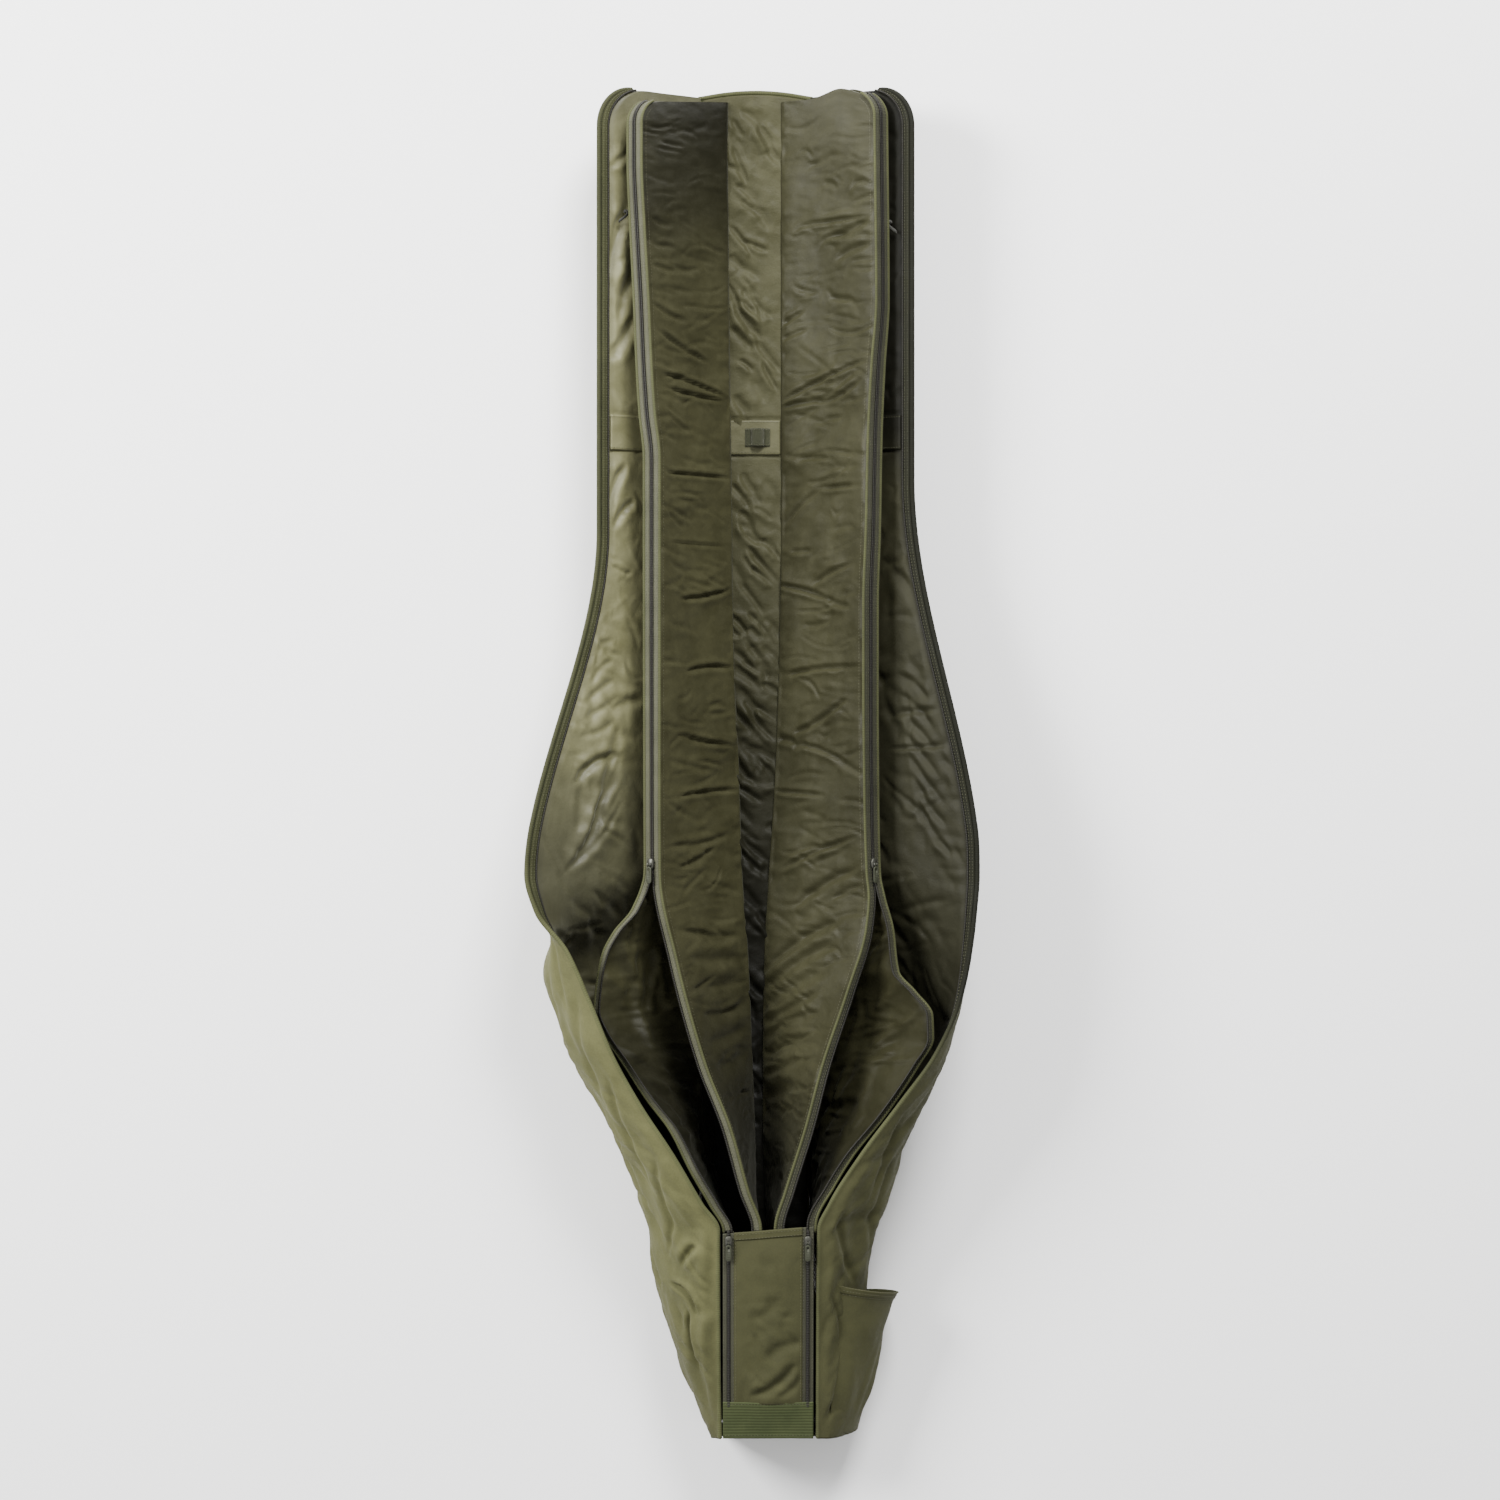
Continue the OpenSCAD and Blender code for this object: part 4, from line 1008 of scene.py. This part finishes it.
for k in (0, 1):
    c = FRONT_ZIP_X[k]
    y = np.linspace(1, -262, 160)
    parts = []
    for a, b in ((c - 8.4, c - 2.1), (c + 2.1, c + 8.4)):
        top, low = strip_grid(a, b, 1, -262, 5, 130, -0.2), strip_grid(a, b, 1, -262, 5, 130, -1.4)
        parts.append(shell(top, low))
    rigid("bag_base", f"{NAMES[k]}_front_tape", joined(parts), TAPE, "zip_tape")
    line = strip_point(c, y, strip_shape(np.full_like(y, c), y) - 0.5)
    geo = joined([repeat(line, up, ZIP_PITCH, *TOOTH), tube(line, 0.9, 6)])
    rigid("bag_base", f"{NAMES[k]}_front_coil", geo, COIL, "zip_tape", f"{NAMES[k]}_front_zip")
    rows = [strip_point(c + d, y, strip_shape(np.full_like(y, c + d), y) + 0.2) for d in (-6.6, 6.6)]
    rigid("bag_base", f"{NAMES[k]}_front_stitches", joined([dashes(r, up) for r in rows]), THREAD, "zip_tape")
top, low = strip_grid(-40, 90, -254, -309, 60, 26, 0.9), strip_grid(-40, 90, -254, -309, 60, 26, -1.8)
rigid("bag_base", "butt_band_webbing", shell(top, low), WEB, "webbing", "butt_band")
x = np.linspace(-38, 88, 90)
rows = [strip_point(x, y, strip_shape(x, np.full_like(x, y)) + 1.1) for y in (-257, -304)]
rigid("bag_base", "butt_band_stitches", joined([dashes(r, up) for r in rows]), THREAD, "webbing")

# end panel: a soft disc of canvas that closes the butt end
ring = np.array([(-47, 3), (40, 3), (134, 3), (147, 40), (143, 70), (124, 98), (99, 118), (40, 119),
                 (-45, 119), (-50, 92), (-51, 60), (-50, 30), (-47, 3)], float)
f = np.linspace(0, 1, 161)
seg = lengths(ring)
rx, rz = sample(f * seg[-1], seg, ring).T
q = np.linspace(0.0, 1, 26)[:, None]
X, Z = 42 + (rx - 42)[None] * q, 58 + (rz - 58)[None] * q
bulge = 3.0 * (1 - q**3) + 1.6 * noise(X / 26, Z / 30, 221, 3) * (1 - q**4)
front = np.stack([X, -967.5 - bulge, Z], -1)
back = front + (0, 1.4, 0)
ob = rigid("bag_base", "butt_end_canvas", shell(front, back), CANVAS, "outer_canvas")
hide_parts("butt_end_panel")

# side pocket with a gaping mouth
PY = np.linspace(-757, -966, 84)
P, S, N = wall[1]
rows_i = np.interp(-PY, -WY, np.arange(len(WY)))


def wall_at(arr, r):
    """Rows of a grid at places r between its own rows."""
    i = np.minimum(np.floor(r).astype(int), len(arr) - 2)
    return mix(arr[i], arr[i + 1], (r - i).reshape(-1, *([1] * (arr.ndim - 1))))


WP, WS, WN = wall_at(P, rows_i), wall_at(S, rows_i), wall_at(N, rows_i)
nf = 64
f = np.linspace(0.10, 0.88, nf)
G, H = (np.array([sample(f * r[-1], r, g) for r, g in zip(WS, grid)]) for grid in (WP, WN))
g = np.linspace(0, 1, len(PY))
gape = mix(46, 1.5, g**0.75)[:, None] * np.sin(np.pi * np.linspace(0, 1, nf))[None] ** 0.9
w = np.zeros((len(PY), nf))
SS = np.broadcast_to(f[None] * 250, w.shape)
for a in range(6):
    crease(w, SS, PY, 90 + 18 * a, -775 - 8 * a, 130 + 8 * a, -950, 2.6, 8 + a % 3 * 2, 8 - 3 * a)
w += 2.0 * noise(SS / 40, np.broadcast_to(PY[:, None], w.shape) / 45, 231, 3)
out = 1.6 + gape + w * np.minimum(1, gape / 10)
tilt = np.zeros_like(G)
tilt[..., 1] = mix(1, 0, g)[:, None] * np.linspace(-19, 12, nf)[None]
G = G - H * out[..., None] + tilt
G[..., 2] = np.maximum(G[..., 2], 1.0)
ob = rigid("bag_base", "side_pocket_canvas", shell(G, G + H * 1.3), POCKET, "outer_canvas", "side_pocket")
hem = G[:5] - H[:5] * 0.9
rigid("bag_base", "side_pocket_mouth_hem", shell(hem, hem + H[:5] * 3.2), POCKET, "binding_tape",
      "side_pocket_hem")
rows = [(G[r, 2:-2] - H[r, 2:-2] * 1.2, -H[r, 2:-2]) for r in (0, 2, 4)]
ob = rigid("bag_base", "side_pocket_stitches", joined([dashes(a + (0, -0.6, 0), b) for a, b in rows]), THREAD,
           "outer_canvas")


# ---- straps, handles and sliders -----------------------------------------------------

for k in (0, 1):
    body = f"{NAMES[k]}_wall"
    name = f"{NAMES[k]}_rod_patch"
    s, c, q = SIDE[k], math.cos(WALL_LEAN), math.sin(WALL_LEAN)
    up = (-s * q, 0, c)

    def on_wall(u, y, w):
        """Points u up the wall from its seam and w towards the inside of its plane."""
        u, y, w = np.broadcast_arrays(np.asarray(u, float), np.asarray(y, float), np.asarray(w, float))
        return np.stack([WALL_X[k] + s * (u * c - w * q), y, 8.5 + u * q + w * c], -1)

    u, y = np.meshgrid(np.linspace(12, 165, 40), np.linspace(453, 503, 24))
    w = 6.6 + 0.5 * noise(u / 20, y / 14, 241 + k, 2)
    rigid(body, name, shell(on_wall(u, y, w + 0.9), on_wall(u, y, w)), LININGS[k], "satin_lining",
          f"{NAMES[k]}_strap_patch")
    u = np.linspace(14, 164, 60)
    rows = [dashes(on_wall(u, y, 8.0), up) for y in (456, 500)]
    rigid(body, f"{name}_stitches", joined(rows), THREAD, "satin_lining")

    # small tie for the rod tips
    tip = ((138, 797), (146, 781))[k]
    t = np.linspace(0, 1, 40)
    line = on_wall(tip[0] + 13 * t + 3 * np.sin(9 * t), tip[1] + 4 * np.sin(5 * t) - 12 * t,
                   11 + 5 * np.sin(math.pi * t))
    foot = on_wall(tip[0] + np.linspace(-2, 4, 12), tip[1], 9.6)
    geo = joined([tube(line, 1.9, 8, 0.5, up), tube(foot, 2.8, 8, 0.4, up)])
    rigid(body, f"{NAMES[k]}_tip_tie", geo, DARK, "webbing")

    # handle: two sewn legs and the loop that hangs from them
    out = (s * q, 0, -c)
    legs, threads = [], []
    for e in (-1, 1):
        y0 = 60 + e * 95
        u, y = np.meshgrid(np.linspace(20, 150, 60), np.linspace(y0 - 19, y0 + 19, 16))
        w = -1.6 - 0.35 * noise(u / 12, y / 10, 261, 2)
        legs.append(shell(on_wall(u, y, w - 1.5), on_wall(u, y, w)))
        rows = [(24, 146, -1, -1), (24, 146, 1, 1)]
        rows += [(a, b, -1, 1) for a, b in (
            (24, 24), (60, 60), (146, 146), (24, 60), (60, 24), (110, 110), (110, 146), (146, 110))]
        for a, b, p, r in rows:
            t = np.linspace(0, 1, 30)
            threads.append(dashes(on_wall(mix(a, b, t), y0 + 16 * mix(p, r, t), -3.7), out))
    rigid(body, f"{NAMES[k]}_handle_legs", joined(legs), WEB, "webbing", f"{NAMES[k]}_handle_webbing")
    rigid(body, f"{NAMES[k]}_handle_stitches", joined(threads), THREAD, "webbing")

    hx, hz = (-197.45, 211.45)[k], 98.3
    sag = np.linspace(0, 1, 120)
    y = mix(-35, 155, sag)
    drop = -52 * np.clip(np.minimum(sag, 1 - sag) / 0.24, 0, 1) ** 0.55
    line = np.stack([np.full_like(y, hx), y, hz + drop - 2], 1)
    across = np.array([s, 0, 0])
    W = np.cross(unit(np.gradient(line, axis=0)), across)
    wide = 19 - 5 * np.sin(np.pi * sag) ** 2
    grip = line + across * (2.0 * np.sin(np.pi * sag))[:, None]
    v = np.linspace(-1, 1, 14)
    fold = np.clip(np.abs(v) - 0.2, 0, 1) * 3.0
    mid = np.sin(np.pi * sag)[:, None] ** 0.6
    g = grip[:, None] + W[:, None] * (wide[:, None] * v[None])[..., None] * np.array([0, 1, 0.8])
    g = g + across * (fold[None] * mid)[..., None]
    rigid(f"{NAMES[k]}_handle", f"{NAMES[k]}_handle_loop", shell(g, g - across * 1.7), WEB, "webbing",
          f"{NAMES[k]}_handle_grip")

# strap for the middle rod, on its smooth patch in the trough
x, y = np.meshgrid(np.linspace(-30, 43, 40), np.linspace(453, 503, 24))
z = 9.0 + 0.5 * noise(x / 16, y / 14, 271, 2)
ob = rigid("bag_base", "centre_rod_patch", shell(np.stack([x, y, z + 1.0], -1), np.stack([x, y, z], -1)),
           PATCH, "satin_lining", "centre_strap_patch")
t = np.linspace(-28, 41, 40)
rows = [dashes(np.stack([t, 0 * t + q, 0 * t + 10.4], 1), (0, 0, 1)) for q in (456, 500)]
rigid("bag_base", "centre_patch_stitches", joined(rows), THREAD, "satin_lining")
a = np.linspace(math.pi, 0, 30)
arch = np.concatenate([np.stack([np.linspace(-8, 1.6, 8), np.full(8, 10.2)], 1),
                       np.stack([10 + 8.6 * np.cos(a), 10.4 + 8.6 * np.sin(a)], 1),
                       np.stack([np.linspace(18.8, 28, 8), np.full(8, 10.2)], 1)])
v = np.linspace(465, 491, 14)
G = np.stack(np.broadcast_arrays(arch[:, None, 0], v[None], arch[:, None, 1]), -1).copy()
G[..., 2] += 0.5 * noise(G[..., 0] / 8, G[..., 1] / 8, 281, 2)
NN = unit(np.cross(np.gradient(G, axis=0), np.gradient(G, axis=1)))
rigid("rod_strap", "rod_strap_pile", shell(G, G + NN * 1.4), PILE, "hook_and_loop", "centre_rod_strap")
rows = [dashes(G[:, j] + NN[:, j] * 1.6, NN[:, j], 3.6) for j in (1, -2)]
ob = rigid("rod_strap", "rod_strap_stitches", joined(rows), THREAD, "hook_and_loop")


def loft(rings):
    """A closed solid through rings of equal numbers of points."""
    R = np.asarray(rings, float)
    n, m = R.shape[:2]
    idx = np.arange(n * m).reshape(n, m)
    nx = np.roll(idx, -1, axis=1)
    quads = np.stack([idx[:-1], nx[:-1], nx[1:], idx[1:]], -1).reshape(-1, 4)
    c = np.array([[n * m, n * m + 1]])
    verts = np.concatenate([R.reshape(-1, 3), [R[0].mean(0), R[-1].mean(0)]])
    cap0 = np.stack([np.full(m, c[0, 0]), nx[0], idx[0]], 1)
    cap1 = np.stack([np.full(m, c[0, 1]), idx[-1], nx[-1]], 1)
    return verts, [quads, np.concatenate([cap0, cap1])], np.zeros((len(verts), 2))


def outline(w, y0, y1, r, n=6):
    """A rounded rectangle about the y axis, as (x, y) pairs."""
    pts = []
    for cx, cy, a in ((w - r, y1 - r, 0), (-w + r, y1 - r, 90), (-w + r, y0 + r, 180), (w - r, y0 + r, 270)):
        for i in range(n + 1):
            q = math.radians(a + 90 * i / n)
            pts.append((cx + r * math.cos(q), cy + r * math.sin(q)))
    return np.array(pts)


def slab(pts, z0, z1, soft=0.5):
    """A plate with softened edges from an outline of (x, y) pairs."""
    c = pts.mean(0)
    d = pts - c
    ll = np.linalg.norm(d, axis=1, keepdims=True)
    inner = c + d * (1 - soft / ll)
    rings = [np.c_[inner, np.full(len(pts), z0)], np.c_[pts, np.full(len(pts), z0 + soft)],
             np.c_[pts, np.full(len(pts), z1 - soft)], np.c_[inner, np.full(len(pts), z1)]]
    return loft(rings)


def slider_parts():
    """A zip slider's casting, with its y along the zip and z up."""
    half = np.array([(3.2, 0), (4.6, 2.2), (5, 5), (5, 10.5), (4.2, 13), (2.8, 15)])
    body = np.concatenate([[half[0] * (-1, 1)], half, half[:0:-1] * (-1, 1)])
    parts = [slab(body, 2.6, 5.0, 0.6)]
    for s in (-1, 1):
        flange = np.array([(3.9, 1), (5, 5), (5, 11), (4.0, 13), (3.7, 13), (3.7, 1)], float) * (s, 1)
        parts.append(slab(flange[::s], 0.4, 3.0, 0.1))
        ear = np.array([(1.6, 4.0), (2.8, 4.0), (2.8, 8.6), (1.6, 8.6)], float) * (s, 1)
        parts.append(slab(ear[::s], 4.6, 8.2, 0.25))
    x = np.linspace(-3.0, 3.0, 8)
    parts.append(tube(np.stack([x, 0 * x + 6.2, 0 * x + 6.9], 1), 0.85, 14))
    return joined(parts)


def pull_parts():
    """A slider's ring, neck and ribbed tab, hanging from the slider's bridge."""
    ring = outline(4.0, -27, -3, 3.9, 8)
    hole = outline(1.5, -9.2, -6.2, 1.45, 8)
    c = ring.mean(0)
    small = c + (ring - c) * 0.93
    levels = ((hole, -0.8), (small, -0.8), (ring, -0.5), (ring, 0.9), (small, 1.15), (hole, 1.15),
              (hole, -0.8))
    R = np.array([np.c_[edge, np.full(len(ring), z)] for edge, z in levels])
    n, m = R.shape[:2]
    idx = np.arange((n - 1) * m).reshape(n - 1, m)
    idx = np.concatenate([idx, idx[:1]])
    nx = np.roll(idx, -1, axis=1)
    quads = np.stack([idx[:-1], nx[:-1], nx[1:], idx[1:]], -1).reshape(-1, 4)
    plate = (R[:-1].reshape(-1, 3), [quads], np.zeros(((n - 1) * m, 2)))
    a = np.linspace(0, 2 * math.pi, 25)[:-1]
    eye = np.stack([0 * a, 1.55 * np.cos(a), 1.55 * np.sin(a)], 1)
    eye = np.concatenate([eye, eye[:2]])
    y = np.linspace(-1.6, -5.0, 8)
    parts = [plate, tube(eye, 0.55, 10, 1.0, (1, 0, 0)), tube(np.stack([0 * y, y, 0 * y], 1), 0.95, 10)]
    for q in range(5):
        x = np.linspace(-2.3, 2.3, 6)
        parts.append(tube(np.stack([x, 0 * x - 13 - 2.4 * q, 0 * x + 1.1], 1), 0.45, 8))
    return joined(parts)


def placed(geo, origin, axes):
    """Local solid to the row frame, with its x, y and z axes given."""
    v, f, uv = geo
    m = np.array(axes, float)
    return np.asarray(v) @ m + np.asarray(origin, float), f, uv


def zip_slider(where, origin, axes):
    """A slider and its pull, each on its own body."""
    rigid(f"{where}_slider_body", f"{where}_slider_cast", placed(slider_parts(), origin, axes), METAL,
          "slider_metal", f"{where}_slider")
    pin = np.array(origin) + 6.2 * np.array(axes[1]) + 6.9 * np.array(axes[2])
    rigid(f"{where}_pull_body", f"{where}_pull_tab", placed(pull_parts(), pin, axes), PULL, "pull_plastic",
          f"{where}_pull")


for k in (0, 1):
    c, s = SLEEVE_LEAN[k], SIDE[k]
    w, u = -13.5, SLEEVE_D + 2
    origin = (SLEEVE_X[k] + s * (u * math.cos(c) - w * math.sin(c)), SPLIT + 6,
              8.5 + u * math.sin(c) + w * math.cos(c))
    a = s * (math.pi / 2 - c)
    axes = ((math.cos(a), 0, -math.sin(a)), (0, 1, 0), (math.sin(a), 0, math.cos(a)))
    zip_slider(f"{NAMES[k]}_sleeve", origin, axes)
    c, s = math.cos(SLOPE), math.sin(SLOPE)
    origin = strip_point(FRONT_ZIP_X[k], -22, -0.35)
    zip_slider(f"{NAMES[k]}_front", origin, ((1, 0, 0), (0, c, s), (0, -s, c)))


# ---- floor, light and camera ---------------------------------------------------------

bpy.ops.mesh.primitive_plane_add(size=60, location=(0, 0, -0.002))
floor = bpy.context.object
m = bpy.data.materials.new("floor")
m.use_nodes = True
sock(m.node_tree.nodes["Principled BSDF"], "Base Color", (0.95, 0.95, 0.945, 1))
sock(m.node_tree.nodes["Principled BSDF"], "Roughness", 0.9)
floor.data.materials.append(m)

world = bpy.data.worlds.new("studio")
bpy.context.scene.world = world
world.use_nodes = True
sock(world.node_tree.nodes["Background"], "Color", (1, 1, 1, 1))
sock(world.node_tree.nodes["Background"], "Strength", 0.85)


def area(name, place, target, size, power):
    light = bpy.data.lights.new(name, "AREA")
    light.shape, light.size, light.size_y, light.energy = "RECTANGLE", size[0], size[1], power
    ob = bpy.data.objects.new(name, light)
    ob.location = place
    ob.rotation_euler = (Vector(target) - Vector(place)).to_track_quat("-Z", "Y").to_euler()
    ob.visible_camera = False
    bpy.context.scene.collection.objects.link(ob)


area("key", (-3.3, 1.7, 3.0), (0, -0.1, 0.1), (1.6, 2.0), 520)
area("tip", (0.9, 3.4, 3.0), (0, 0, 0.1), (1.5, 1.5), 430)

cam = bpy.data.cameras.new("camera")
cam.lens, cam.sensor_width = 98.1, 36
camera = bpy.data.objects.new("camera", cam)
camera.location = (-0.001, 0.020, 6.0)
bpy.context.scene.collection.objects.link(camera)
bpy.context.scene.camera = camera

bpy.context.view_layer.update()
